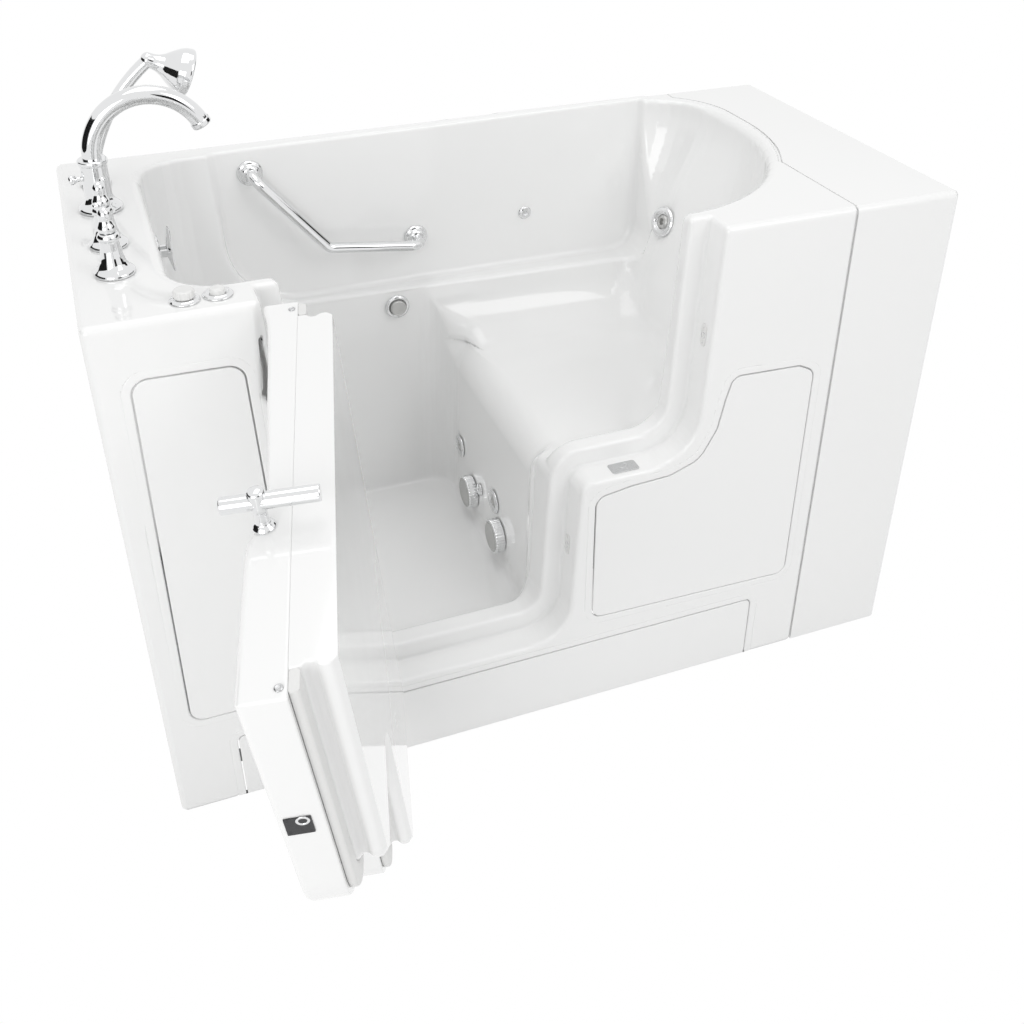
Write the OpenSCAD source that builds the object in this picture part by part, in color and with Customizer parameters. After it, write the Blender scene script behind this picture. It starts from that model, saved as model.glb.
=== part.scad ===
// Walk-in bath with an outward-opening door, deck-mounted filler and massage jets.
// Every module is drawn with x along the bath, y away from the front face and z up,
// from the front-left corner on the floor; at_origin() then moves the origin to the
// plan centre of the bath. The door is drawn closed and swung open by hung_on_door().

/* [Overall] */
// Length of the bath without its extension panel
tub_length = 1304; // [1290:1:1320]
// Length with the extension panel
overall_length = 1524; // [1480:1:1560]
// Depth from front to back
tub_depth = 740; // [736:1:750]
// Height of the deck above the floor
tub_height = 1003; // [1000:1:1010]
// Thickness of the moulding
wall = 6; // [5:0.5:7]
// Radius of the casing's outside edges
casing_round = 12; // [8:1:14]

/* [Doorway] */
// Lean of the hinge line in the plane of the closed door
hinge_lean = 4.893; // [4:0.1:5.2]
// Right edge of the hinge pillar at deck height
pillar_x = 258; // [250:1:262]
// Height of the threshold rebate
threshold_z = 176; // [170:1:180]
// Height of the rebate on the seat ledge
ledge_z = 538; // [530:1:545]
// Depth of the rebate that the door closes into
rebate = 60; // [58:1:62]
// Width of the stop face round the rebate
stop_width = 38; // [36:1:40]
// How far the door stands open
door_open = 103.75; // [90:0.25:104]

/* [Door] */
// Gap between the door and its rebate
door_gap = 4; // [3:0.5:5]
// Gap on the hinge side, which holds the knuckles
hinge_gap = 45; // [44:1:47]
// Thickness of the outer shell
door_shell = 54; // [52:1:55]
// Thickness of the whole door
door_depth = 104; // [100:1:104]
// Skin of the door mouldings
door_skin = 4; // [3:0.5:5]

/* [Basin] */
// Height of the footwell floor
floor_z = 145; // [142:1:150]
// Height of the seat
seat_z = 530; // [525:1:532]
// Where the footwell meets the seat riser
riser_x = 745; // [740:1:750]
// Roll of the rim between deck and basin
rim_roll = 16; // [12:1:18]
// Radius of the edge where the seat drops into the footwell
nose_radius = 55; // [40:5:60]

/* [Fittings] */
// Bore of the waste outlet
waste_bore = 38; // [36:1:40]
// Radius of the water inlet tails
inlet_radius = 10.5; // [10:0.5:12]
// Radius of the hinge pins
hinge_pin_radius = 5; // [4:0.5:6]
// Running clearance of turning and sliding parts
running_gap = 0.05; // [0.03:0.01:0.08]
// Radius of the grab bar
grab_radius = 11; // [10:0.5:12.5]

/* [Hidden] */

round_fn = 48;      // circles that stay exact
hull_fn = 24;       // circles inside hulls
corner_steps = 6;   // facets in each rounded corner of an outline
hole_fn = 16;       // plain holes in the moulding
least_round = 2;    // smallest radius left in a corner that is moved in
skin = 0.02;        // thickness of the slices that hulls join
far_above = tub_height + 100;

white = [0.95, 0.95, 0.95];
chrome = [0.78, 0.79, 0.8];
steel = [0.62, 0.63, 0.65];
grey = [0.35, 0.36, 0.37];
black = [0.08, 0.08, 0.09];

hinge_y = 15.5;
hinge_x = pillar_x + 20.6;
hinge_axis = [-sin(hinge_lean), 0, cos(hinge_lean)];
hinge_top = [hinge_x, hinge_y, tub_height];

// Heights up the leaning hinge line, measured along it down from the deck
hinge_stations = [150, 640];

latch_x = 785;
latch_y = 22;
trim = 1.2;                     // thickness of the plates in the door gap
upper_bolt_at = [30, 788];      // y, z
lower_bolt_at = [40, 378];      // y, z
ledge_bolt_at = [889, 32];      // x, y

spout_at = [66, 465];
hot_at = [66, 182];
cold_at = [66, 297];
cradle_at = [66, 592];
air_knob_at = [154, 45];
air_button_at = [203, 48];
drain_at = [420, 430];
overflow_at = [636, 622];       // x, z
lever_at = [440, 920];          // y, z
frame_low = 45;
angle_leg = 30;

// Positions on the riser as [y, z]
riser_jets = [[582, 280], [355, 275]];
riser_air_jet = [445, 247];
suctions = [[492, 213], [316, 213]];
back_air_jet = [956, 775];      // x, z
head_jet = [1249.4, 607, 751.6];
head_jet_yaw = 12;              // how far its axis turns from the length of the bath
head_jet_tilt = 19;

// ---------- outlines and lofts ----------

function unit(v) = v / norm(v);
function left_of(d) = [-d.y, d.x];

// One corner of an outline, moved inward and rounded. Corners are [x, z, radius].
function corner_arc(before, at, after, inset) =
    let (
        d1 = unit([at.x - before.x, at.y - before.y]),
        d2 = unit([after.x - at.x, after.y - at.y]),
        turn = atan2(d1.x * d2.y - d1.y * d2.x, d1 * d2),
        moved = [at.x, at.y] + (left_of(d1) + left_of(d2)) * inset / (1 + d1 * d2),
        radius = max(at.z - sign(turn) * inset, least_round),
        start = moved - d1 * radius * tan(abs(turn) / 2),
        centre = start + left_of(d1) * radius * sign(turn)
    )
    [for (k = [0 : corner_steps])
        let (a = turn * k / corner_steps, r = start - centre)
        centre + [r.x * cos(a) - r.y * sin(a), r.x * sin(a) + r.y * cos(a)]];

function outline(corners, inset = 0) =
    let (n = len(corners))
    [for (i = [0 : n - 1])
        each corner_arc(corners[(i + n - 1) % n], corners[i], corners[(i + 1) % n], inset)];

// A slab standing in the x-z plane. Each layer is [y, inset] and the outlines share
// their number of points, so the edges can be rolled, stepped or grooved.
module lofted_slab(outlines, depths) {
    n = len(outlines[0]);
    last = len(depths) - 1;
    points = [for (i = [0 : last]) for (p = outlines[i]) [p.x, depths[i], p.y]];
    sides = [for (i = [0 : last - 1]) for (k = [0 : n - 1])
        each [
            [i * n + k, i * n + (k + 1) % n, (i + 1) * n + k],
            [i * n + (k + 1) % n, (i + 1) * n + (k + 1) % n, (i + 1) * n + k]
        ]];
    front = [for (k = [n - 1 : -1 : 0]) k];
    back = [for (k = [0 : n - 1]) last * n + k];
    polyhedron(points, concat([front, back], sides));
}

// A straight slab between two depths
module slab(points, y0, y1) {
    translate([0, y1, 0]) rotate([90, 0, 0]) linear_extrude(y1 - y0) polygon(points);
}

// Steps of a quarter-round edge: [depth, inset]
function rolled_edge(r, steps = 4) =
    [for (k = [0 : steps]) let (a = 90 * k / steps) [r * (1 - cos(a)), r * (1 - sin(a))]];

function lean(z) = (tub_height - z) * tan(hinge_lean);

// The doorway in the front face, anticlockwise from the top of the pillar
function doorway(top = far_above) = [
    [pillar_x + lean(top), top, 1],
    [pillar_x + lean(threshold_z), threshold_z, 30],
    [772, threshold_z, 85],
    [791, ledge_z, 28],
    [1022, ledge_z, 100],
    [1022 + (top - ledge_z) * 0.0452, top, 1]
];

// The door's own outline, with a wider gap beside the hinges. Its top corners keep their
// radius however far the outline is moved in.
door_top_round = 3;
function door_corners(top, soften = 0) = [
    [pillar_x + hinge_gap + lean(top), top,
        door_top_round + max(0, top - tub_height) + soften],
    [pillar_x + hinge_gap + lean(threshold_z), threshold_z + door_gap, 24 + soften],
    [772 - door_gap, threshold_z + door_gap, 81],
    [791 - door_gap, ledge_z + door_gap, 32],
    [1022 - door_gap, ledge_z + door_gap, 96],
    [1022 - door_gap + (top - ledge_z) * 0.0452, top,
        door_top_round + max(0, top - tub_height) + soften]
];
function door_outline(inset) = outline(door_corners(tub_height), inset);
// The same, but with its top edge left level with the deck
function flush_door_outline(inset) = outline(door_corners(tub_height + inset), inset);
// The hollow inside the door, with easier corners
function hollow_outline(inset) = outline(door_corners(tub_height, inset + 8), inset);

left_panel = [
    [56, 907, 25], [48, 214, 25], [246, 214, 25], [228, 688, 60], [220, 903, 25]
];
right_panel = [
    [823, 212, 22], [822, 499, 22], [893, 510, 40], [972, 514, 60], [1033, 537, 55],
    [1065, 597, 60], [1077, 660, 60], [1089, 704, 20], [1228, 699, 22], [1260, 683, 22],
    [1261, 201, 22]
];
toe_panel = [[121, -20, 2], [1187, -20, 2], [1187, 147, 12], [121, 147, 12]];

function clockwise(points) = [for (i = [len(points) - 1 : -1 : 0]) points[i]];
function left_panel_outline(inset) = outline(left_panel, inset);
function right_panel_outline(inset) = outline(clockwise(right_panel), inset);
function toe_panel_outline(inset) = outline(toe_panel, inset);

// ---------- placing ----------

module at_origin() {
    translate([-tub_length / 2, -tub_depth / 2, 0]) children();
}

module hung_on_door() {
    at_origin()
        translate(hinge_top)
            rotate(a = -door_open, v = hinge_axis)
                translate(-hinge_top)
                    children();
}

// Along the hinge line, a distance down from the deck, with z up the line
module on_hinge_line(down) {
    translate(hinge_top - down * hinge_axis) rotate([0, -hinge_lean, 0]) children();
}

// A wall fitting is drawn standing on z = 0 and turned to face along an axis
module facing_left(x, at) {
    translate([x, at.x, at.y]) rotate([0, -90, 0]) children();
}
module facing_front(at, y) {
    translate([at.x, y, at.y]) rotate([90, 0, 0]) children();
}
// On the back wall of the pocket, which is turned a little
module facing_front_on_back_wall(at) {
    translate([at.x, back_wall_y(at.x), at.y]) rotate([0, 0, pocket_turn])
        rotate([90, 0, 0]) children();
}
module facing_right(x, at) {
    translate([x, at.x, at.y]) rotate([0, 90, 0]) children();
}
module at_head_jet() {
    translate(head_jet)
        rotate([0, 0, head_jet_yaw + 180])
            rotate([0, 90 - head_jet_tilt, 0])
                children();
}

module box(x0, x1, y0, y1, z0, z1) {
    translate([x0, y0, z0]) cube([x1 - x0, y1 - y0, z1 - z0]);
}
module rod(r, h) {
    cylinder(r = r, h = h, $fn = round_fn);
}
module turned(profile) {
    rotate_extrude($fn = round_fn) polygon(profile);
}

// Points along a line that turns its corners on arcs
function bent_path(points, bend, steps = 6) =
    let (last = len(points) - 1)
    [for (i = [0 : last]) each i == 0 || i == last ? [points[i]] :
        let (
            d1 = unit(points[i] - points[i - 1]),
            d2 = unit(points[i + 1] - points[i]),
            turn = acos(d1 * d2),
            inward = unit(d2 - (d2 * d1) * d1),
            centre = points[i] - bend * tan(turn / 2) * d1 + bend * inward
        )
        [for (k = [0 : steps]) let (a = turn * k / steps)
            centre + bend * (d1 * sin(a) - inward * cos(a))]];

function tangent(path, i) =
    unit(path[min(i + 1, len(path) - 1)] - path[max(i - 1, 0)]);

// Side directions carried along a path without twist
function sides_along(path, i, side) =
    let (t = tangent(path, i), u = unit(side - (side * t) * t))
    i == len(path) - 1 ? [u] : concat([u], sides_along(path, i + 1, u));

// A bent round tube as one solid
module bent_tube(points, bend, r, facets = 20) {
    path = bent_path(points, bend);
    last = len(path) - 1;
    sides = sides_along(path, 0, [0.31, 0.2, 0.93]);
    rings = [for (i = [0 : last]) let (u = sides[i], v = cross(tangent(path, i), u))
        for (k = [0 : facets - 1]) let (a = 360 * k / facets)
            path[i] + r * (cos(a) * u + sin(a) * v)];
    walls = [for (i = [0 : last - 1]) for (k = [0 : facets - 1])
        let (n = (k + 1) % facets)
        each [
            [i * facets + k, (i + 1) * facets + k, i * facets + n],
            [i * facets + n, (i + 1) * facets + k, (i + 1) * facets + n]
        ]];
    polyhedron(rings, concat(
        [[for (k = [0 : facets - 1]) k]],
        [[for (k = [facets - 1 : -1 : 0]) last * facets + k]],
        walls
    ));
}

// ---------- the moulded shell ----------

function arc(centre, radii, from, to, steps) = [for (k = [0 : steps])
    let (a = from + (to - from) * k / steps)
    [centre.x + radii.x * cos(a), centre.y + radii.y * sin(a)]];

// Plan of the basin at one level. corners = [left, right, front, back at left, back at
// right], radii = [left corners, back right] and head is the quarter ellipse at the
// front of the head end.
function basin_plan(corners, radii, head, grow) =
    let (side = radii[0] + grow, far = radii[1] + grow)
    concat(
        arc([corners[0] + radii[0], corners[2] + radii[0]], [side, side], 180, 270, 7),
        arc([corners[1] - head.x, corners[2] + head.y], head + [grow, grow], 270, 360, 14),
        arc([corners[1] - radii[1], corners[4] - radii[1]], [far, far], 0, 90, 8),
        arc([corners[0] + radii[0], corners[3] - radii[0]], [side, side], 90, 180, 7)
    );

module basin_slice(z, corners, radii, head, grow) {
    translate([0, 0, z])
        linear_extrude(skin) polygon(basin_plan(corners, radii, head, grow));
}

// Footwell from its floor to where the nose of the seat starts to round over:
// [z, left, right, front, back, corner]
nose_start = seat_z - nose_radius;
footwell = [
    [floor_z, 184, riser_x - 20, 182, 652, 50],
    [floor_z + 3, 174, riser_x - 10, 166, 662, 58],
    [floor_z + 12, 166, riser_x - 3, 146, 668, 63],
    [floor_z + 30, 162, riser_x, 124, 671, 66],
    [threshold_z + stop_width, 160, riser_x + 1, 106, 672, 68],
    [nose_start, 155, riser_x + 7, 102, 668, 70]
];
// The nose turns over on an arc, whose skin is a smaller arc about the same centre
function nose_rows(grow) = [for (a = [15 : 15 : 90])
    [nose_start + (nose_radius - grow) * sin(a), 154,
        riser_x + 7 + nose_radius - (nose_radius - grow) * cos(a) - grow, 101, 667, 71]];
// Above the seat the end of the backrest's foot leans away from the footwell
above_nose = [
    [seat_z + 50, 153, riser_x + nose_radius + 12, 100, 666, 72],
    [seat_z + 130, 152, riser_x + nose_radius + 30, 100, 664, 72]
];

// Seat space from seat to rim: [z, left, right, front, back at left, back at right]
seat_space = [
    [seat_z, 152, 1120, 120, 508, 508],
    [seat_z + 5, 152, 1156, 110, 548, 548],
    [seat_z + 22, 151, 1184, 104, 592, 592],
    [seat_z + 50, 151, 1198, 101, 628, 628],
    [seat_z + 90, 150, 1212, 99, 655, 655],
    [seat_z + 140, 150, 1228, 98, 664, 667],
    [seat_z + 270, 147, 1273, 95, 668, 690],
    [tub_height - 18, 141, 1342, 92, 678, 718],
    [tub_height - 8, 141, 1342, 92, 678, 718],
    [tub_height - 3, 141, 1342, 92, 678, 718],
    [tub_height + 0.5, 141, 1342, 92, 678, 718]
];
// How far each slice of the seat space grows as it rolls over onto the deck
function rim_growth(z) =
    z <= tub_height - 18 ? 0
    : z < tub_height - 5 ? rim_roll * 0.16
    : z < tub_height ? rim_roll * 0.5
    : rim_roll;

function head_ellipse(row) = [row[2] - 1000, min(row[2] - 942, row[4] - row[3] - 60)];
function back_round(row) = row[0] < seat_z + 100 ? 60 : 60 + (row[0] - seat_z - 100) * 0.25;

module footwell_slice(row, grow) {
    basin_slice(row[0] - (row[0] == floor_z ? grow : 0),
        [row[1], row[2], row[3], row[4], row[4]],
        [row[5], row[5]], [row[5], row[5]], grow);
}
function seat_plan(row, grow) = basin_plan(
    [row[1], row[2], row[3], row[4], row[5]], [85, back_round(row)],
    head_ellipse(row), grow
);
module seat_slice(row, grow) {
    translate([0, 0, row[0] - (row[0] == seat_z ? grow : 0)]) linear_extrude(skin)
        polygon(seat_plan(row, grow + rim_growth(row[0])));
}
// The rim seen from above, a distance outside the basin wall
function rim_plan(grow) = seat_plan(seat_space[len(seat_space) - 1], grow);

// Pocket above the ledge in the back wall, in elevation
ledge_pocket_z = 672;
pocket = [
    [276, far_above, 1], [296, ledge_pocket_z, 150], [1235, ledge_pocket_z - 22, 60],
    [1235, far_above, 1]
];
pocket_layers = [[610, 26], [650, 24], [664, 14], [672, 6], [680, 1.5], [690, 0]];
pocket_turn = 2.3;
function back_wall_y(x) = 690 + (x - 276) * tan(pocket_turn);

module back_pocket(grow) {
    translate([276, 690, 0]) rotate([0, 0, pocket_turn]) translate([-276, -690, 0])
        lofted_slab(
            [for (l = pocket_layers) outline(pocket, l[1] - grow)],
            [for (l = pocket_layers) l[0] + (l[0] == 690 ? grow : 0)]
        );
}

module basin(grow) {
    rows = concat(footwell, nose_rows(grow), above_nose);
    union() {
        for (i = [0 : len(rows) - 2]) hull() {
            footwell_slice(rows[i], grow);
            footwell_slice(rows[i + 1], grow);
        }
        for (i = [0 : len(seat_space) - 2]) hull() {
            seat_slice(seat_space[i], grow);
            seat_slice(seat_space[i + 1], grow);
        }
        back_pocket(grow);
    }
}

module casing() {
    r = casing_round;
    difference() {
        hull() for (x = [r, tub_length - 1]) {
            for (y = [r, tub_depth - r]) {
                translate([x, y, 0]) cylinder(r = x == r ? r : 1, h = 1, $fn = hull_fn);
                translate([x, y, tub_height - r])
                    if (x == r) sphere(r = r, $fn = hull_fn);
                    else rotate([0, 90, 0]) cylinder(r = r, h = 1, $fn = hull_fn);
            }
            translate([x, 1, 0]) cylinder(r = 1, h = tub_height - r, $fn = hull_fn);
        }
        box(wall, tub_length - wall, wall, tub_depth - wall, -1, tub_height - wall);
        box(70, tub_length - 70, tub_depth - 20, tub_depth + 1, -1, tub_height - 50);
        box(-1, 20, 70, tub_depth - 70, -1, tub_height - 50);
        box(tub_length - 20, tub_length + 1, 40, tub_depth - 40, -1, tub_height - wall);
    }
}

rim_lip_width = 9;

// The bead of the rim, which runs on past the end of the casing at the head
module rim_lip() {
    translate([0, 0, tub_height - wall]) linear_extrude(wall - 1.5)
        polygon(rim_plan(rim_roll + rim_lip_width));
    translate([0, 0, tub_height - 2]) linear_extrude(1.5)
        polygon(rim_plan(rim_roll + rim_lip_width - 2));
}

// Lips behind a panel opening, which the panel seats against
module panel_seat(outer, inner) {
    difference() {
        slab(outer, wall - 1, wall + 3);
        slab(inner, wall - 2, wall + 4);
    }
}

module doorway_surround() {
    slab(outline(doorway(), -wall), 1, rebate + wall);
    slab(outline(doorway(), stop_width - wall), rebate, 118);
}

module doorway_cut() {
    mouth = rolled_edge(12);
    lip = rolled_edge(8);
    lofted_slab(
        concat([outline(doorway(), -12)], [for (l = mouth) outline(doorway(), -l[1])],
            [outline(doorway(), 0)]),
        concat([-1], [for (l = mouth) l[0] + 0.01], [rebate])
    );
    lofted_slab(
        concat([outline(doorway(), stop_width - 8)],
            [for (l = lip) outline(doorway(), stop_width - l[1])],
            [outline(doorway(), stop_width)]),
        concat([rebate - 1], [for (l = lip) rebate + l[0]], [130])
    );
}

// Finger scoop in the pillar's front edge beside the open door
module pillar_scoop() {
    hull() {
        translate([262, -9, 990]) sphere(r = 16, $fn = hull_fn);
        translate([262, -8, 846]) sphere(r = 22, $fn = hull_fn);
    }
}

module bath_shell() {
    color(white) at_origin() difference() {
        union() {
            casing();
            intersection() {
                basin(wall);
                box(100, 1400, 70, tub_depth - 1, 100, tub_height - 0.5);
            }
            rim_lip();
            intersection() {
                doorway_surround();
                box(0, tub_length, 0, 130, 0, tub_height - 0.5);
            }
            panel_seat(left_panel_outline(-14), left_panel_outline(12));
            panel_seat(right_panel_outline(-14), right_panel_outline(12));
            panel_seat(toe_panel_outline(-14), toe_panel_outline(12));
        }
        basin(0);
        doorway_cut();
        pillar_scoop();
        slab(left_panel_outline(-2.5), -1, wall);
        slab(right_panel_outline(-2.5), -1, wall);
        slab(toe_panel_outline(-2.5), -1, wall);
        box(0, tub_length, -1, tub_depth, -60, 0);
        shell_holes();
    }
}

tap_hole = 17;                  // radii of the holes in the shell
control_hole = 14;
waste_hole = 25;
overflow_hole = 20;
jet_hole = 16;
air_hole = 8;
suction_hole = 20;
lever_hole = 12;
head_jet_hole = 20;
bolt_hole = 8;
hole_deep = 60;

// Holes for everything that passes through the shell
module shell_holes() {
    deck_low = tub_height - 20;
    for (at = [spout_at, hot_at, cold_at, cradle_at])
        translate([at.x, at.y, deck_low]) cylinder(r = tap_hole, h = hole_deep, $fn = hole_fn);
    for (at = [air_knob_at, air_button_at])
        translate([at.x, at.y, deck_low])
            cylinder(r = control_hole, h = hole_deep, $fn = hole_fn);
    translate([drain_at.x, drain_at.y, floor_z - 20])
        cylinder(r = waste_hole, h = 30, $fn = hole_fn);
    facing_front(overflow_at, 700) cylinder(r = overflow_hole, h = hole_deep, $fn = hole_fn);
    facing_front_on_back_wall(back_air_jet) translate([0, 0, -20])
        cylinder(r = air_hole, h = hole_deep, $fn = hole_fn);
    for (at = riser_jets) facing_left(riser_x + 30, at)
        cylinder(r = jet_hole, h = hole_deep, $fn = hole_fn);
    facing_left(riser_x + 30, riser_air_jet)
        cylinder(r = air_hole, h = hole_deep, $fn = hole_fn);
    for (at = suctions) facing_left(riser_x + 30, at)
        cylinder(r = suction_hole, h = hole_deep, $fn = hole_fn);
    facing_right(130, lever_at) cylinder(r = lever_hole, h = 50, $fn = hole_fn);
    at_head_jet() translate([0, 0, -30])
        cylinder(r = head_jet_hole, h = hole_deep, $fn = hole_fn);
    facing_right(1000, upper_bolt_at) cylinder(r = bolt_hole, h = 70, $fn = hole_fn);
    facing_right(760, lower_bolt_at) cylinder(r = bolt_hole, h = hole_deep, $fn = hole_fn);
    translate([ledge_bolt_at.x, ledge_bolt_at.y, ledge_z - 30])
        cylinder(r = bolt_hole, h = hole_deep, $fn = hole_fn);
}

// ---------- covers and panels ----------

module extension_panel() {
    x0 = tub_length + 2;
    r = casing_round;
    color(white) at_origin() difference() {
        hull() {
            for (y = [r, tub_depth - r]) translate([0, y, 0]) {
                translate([overall_length - r, 0, 0])
                    cylinder(r = r, h = 1, $fn = hull_fn);
                translate([overall_length - r, 0, tub_height - r])
                    sphere(r = r, $fn = hull_fn);
                translate([x0, 0, tub_height - r])
                    rotate([0, 90, 0]) cylinder(r = r, h = 1, $fn = hull_fn);
            }
            box(x0, x0 + 1, 0, tub_depth, 0, tub_height - r);
        }
        box(x0 - 1, overall_length - wall, wall, tub_depth - wall, -1, tub_height - wall);
        box(x0 + 50, overall_length - 60, tub_depth - 20, tub_depth + 1, -1,
            tub_height - 50);
        box(overall_length - 20, overall_length + 1, 60, tub_depth - 60, -1,
            tub_height - 50);
        box(x0 - 1, x0 + 52, 60, tub_depth + 1, -1, tub_height - 50);
        translate([0, 0, tub_height - 60]) linear_extrude(90)
            polygon(rim_plan(rim_roll + rim_lip_width + 1.5));
    }
}

module thin_panel(outlines) {
    edge = rolled_edge(2, 2);
    lofted_slab(
        concat([for (l = edge) outlines[l[1] > 1.9 ? 0 : l[1] > 0.1 ? 1 : 2]],
            [outlines[2]]),
        concat([for (l = edge) l[0]], [wall - 1])
    );
}

module left_access_panel() {
    color(white) at_origin()
        thin_panel([left_panel_outline(2), left_panel_outline(0.6), left_panel_outline(0)]);
}

module right_access_panel() {
    color(white) at_origin() thin_panel([
        right_panel_outline(2), right_panel_outline(0.6), right_panel_outline(0)
    ]);
}

module toe_kick_panel() {
    color(white) at_origin() difference() {
        thin_panel([toe_panel_outline(2), toe_panel_outline(0.6), toe_panel_outline(0)]);
        box(0, tub_length, -1, 20, -60, 1);
    }
}

// ---------- frame and feet ----------

// Lengths of angle iron, with their legs turned to one side
module angle_x(x0, x1, y, z, side = 1) {
    box(x0, x1, min(y, y + side * angle_leg), max(y, y + side * angle_leg), z, z + 3);
    box(x0, x1, min(y, y + side * 3), max(y, y + side * 3), z, z + angle_leg);
}
module angle_y(y0, y1, x, z, side = 1) {
    box(min(x, x + side * angle_leg), max(x, x + side * angle_leg), y0, y1, z, z + 3);
    box(min(x, x + side * 3), max(x, x + side * 3), y0, y1, z, z + angle_leg);
}
module angle_post(x, y, z0, z1, sx, sy) {
    box(min(x, x + sx * angle_leg), max(x, x + sx * angle_leg),
        min(y, y + sy * 3), max(y, y + sy * 3), z0, z1);
    box(min(x, x + sx * 3), max(x, x + sx * 3),
        min(y, y + sy * angle_leg), max(y, y + sy * angle_leg), z0, z1);
}

foot_stem = 6;
feet = [
    [40, 58], [652, 58], [1264, 58], [40, 694], [652, 694], [1264, 694], [652, 370]
];

bar = 3;                        // thickness of the frame's steel
cross_rails = [225, 637, 780, 1000, 1110];
bearer_rows = [250, 560];       // y of the bearers under the footwell
seat_rows = [180, 430];         // y of the bearers under the seat
seat_posts = [850, 1100];
seat_bearer_ends = [822, 1130]; // clear of the seat's rolled front edge
blower_shelf = [1000, 1140, 530, 650];

// Angle-iron base that the shell, pump and blower stand on
module base_frame() {
    low = frame_low;
    high = low + angle_leg;
    floor_bearer_z = floor_z - wall - angle_leg;
    seat_bearer_z = seat_z - wall - angle_leg;
    deck_under = tub_height - wall;
    color(steel) at_origin() difference() {
        union() {
            angle_x(12, 1292, 40, low);
            angle_x(12, 1292, 712, low, -1);
            angle_y(40, 712, 22, low);
            angle_y(40, 712, 1282, low, -1);
            for (x = cross_rails) angle_y(40, 712, x, low);
            for (y = bearer_rows) {
                angle_x(200, 700, y, floor_bearer_z);
                for (x = [cross_rails[0] + bar, cross_rails[1] + bar])
                    box(x, x + 20, y + bar, y + bar + 20, low, floor_bearer_z + 1);
            }
            for (y = seat_rows) {
                angle_x(seat_bearer_ends[0], seat_bearer_ends[1], y, seat_bearer_z);
                for (x = seat_posts)
                    angle_post(x, y + bar, low, seat_bearer_z + angle_leg - bar, 1, 1);
            }
            box(blower_shelf[0], blower_shelf[1], blower_shelf[2], blower_shelf[3],
                high, high + bar);
            // Corner posts, with plates that tie them to the rails
            angle_post(10, 10, low, deck_under, 1, 1);
            angle_post(1298, 10, low, deck_under, -1, 1);
            angle_post(10, 730, low, deck_under, 1, -1);
            angle_post(1298, 730, low, 620, -1, -1);
            for (x = [10, 1298 - bar]) for (y = [[10, 60], [690, 730]])
                box(x, x + bar, y[0], y[1], low, high);
            for (x = [[10, 30], [1282, 1298]]) for (y = [40, 712 - bar])
                box(x[0], x[1], y, y + bar, low, high);
        }
        for (at = feet) translate([at.x, at.y, 0]) rod(foot_stem + 0.3, low + 10);
        // Notch that the waste outlet leaves through
        box(drain_at.x - 32, drain_at.x + 32, 705, 715, low + 8, high + 5);
    }
}

module levelling_feet() {
    color(steel) at_origin() for (at = feet) translate([at.x, at.y, 0]) {
        turned([
            [0, 0], [23, 0], [25, 2], [25, 6], [10, 12], [foot_stem, 16],
            [foot_stem, frame_low + 22], [0, frame_low + 22]
        ]);
        translate([0, 0, frame_low - 10]) cylinder(r = 11, h = 10, $fn = 6);
        translate([0, 0, frame_low + 3]) cylinder(r = 11, h = 8, $fn = 6);
    }
}

// ---------- waste and overflow ----------

module drain_flange() {
    color(chrome) at_origin() translate([drain_at.x, drain_at.y, floor_z]) turned([
        [22, -38.8], [24, -38.8], [24, 0.3], [34, 0.3], [34, 1.5], [31, 3.5], [27, 4], [22, 1]
    ]);
}

module drain_stopper() {
    color(chrome) at_origin() translate([drain_at.x, drain_at.y, floor_z]) turned([
        [0, -18], [3, -18], [3, 2], [18, 4.5], [21, 5.5], [21, 7], [14, 9.5], [6, 10.5],
        [0, 10.7]
    ]);
}

waste_socket = 22.2;            // radius that takes the outlet pipe

module waste_pipe() {
    r = waste_bore / 2;
    color("dimgray") at_origin() translate([drain_at.x, drain_at.y, 0]) difference() {
        union() {
            translate([0, 0, 78]) rod(r + 3, floor_z - 39 - 78);
            translate([0, 0, 96]) rod(r + 9, 8);
            translate([0, 0, 84]) rotate([0, 90, 90]) rod(r + 3, 290);
            translate([0, 0, 84]) sphere(r = r + 3, $fn = round_fn);
            translate([0, 250, 84]) rotate([0, 90, 90]) rod(waste_socket + 4, 40);
        }
        translate([0, 0, 84]) rod(r, 60);
        translate([0, 0, 84]) rotate([0, 90, 90]) rod(r, 320);
        translate([0, 260, 84]) rotate([0, 90, 90]) rod(waste_socket, 31);
        translate([0, 0, 84]) sphere(r = r, $fn = round_fn);
    }
}

module overflow_cover() {
    color(chrome) at_origin() facing_front(overflow_at, 663.8) turned([
        [0, -30], [18, -30], [18, 0], [27, 0], [27, 3], [25, 6], [21, 7],
        [19, 13], [17, 15], [0, 15.5]
    ]);
}

lever_pivot = 20;
lever_wall_x = 144.4;

// The plate and lever stand on the left wall of the basin
module drain_lever_plate() {
    color(chrome) at_origin() facing_right(lever_wall_x, lever_at) difference() {
        union() {
            turned([[0, -20], [11, -20], [11, 0], [31, 0], [31, 2], [28, 5], [0, 6]]);
            for (s = [-1, 1]) translate([-4, s * 11 - 3, 5]) cube([8, 6, 20]);
        }
        translate([0, -20, lever_pivot]) rotate([-90, 0, 0]) rod(3 + running_gap, 40);
    }
}

module drain_lever() {
    color(chrome) at_origin() facing_right(lever_wall_x, lever_at) {
        translate([0, -16, lever_pivot]) rotate([-90, 0, 0]) rod(3, 32);
        difference() {
            hull() {
                translate([-44, -6, 22]) cube([4, 12, 4]);
                translate([-6, -7.5, 16.5]) cube([14, 15, 9.5]);
                translate([34, -7, 23]) cube([4, 14, 5]);
            }
            translate([-38, -3.5, 15]) cube([22, 7, 20]);
        }
    }
}

// ---------- jets, pump, blower ----------

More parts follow.
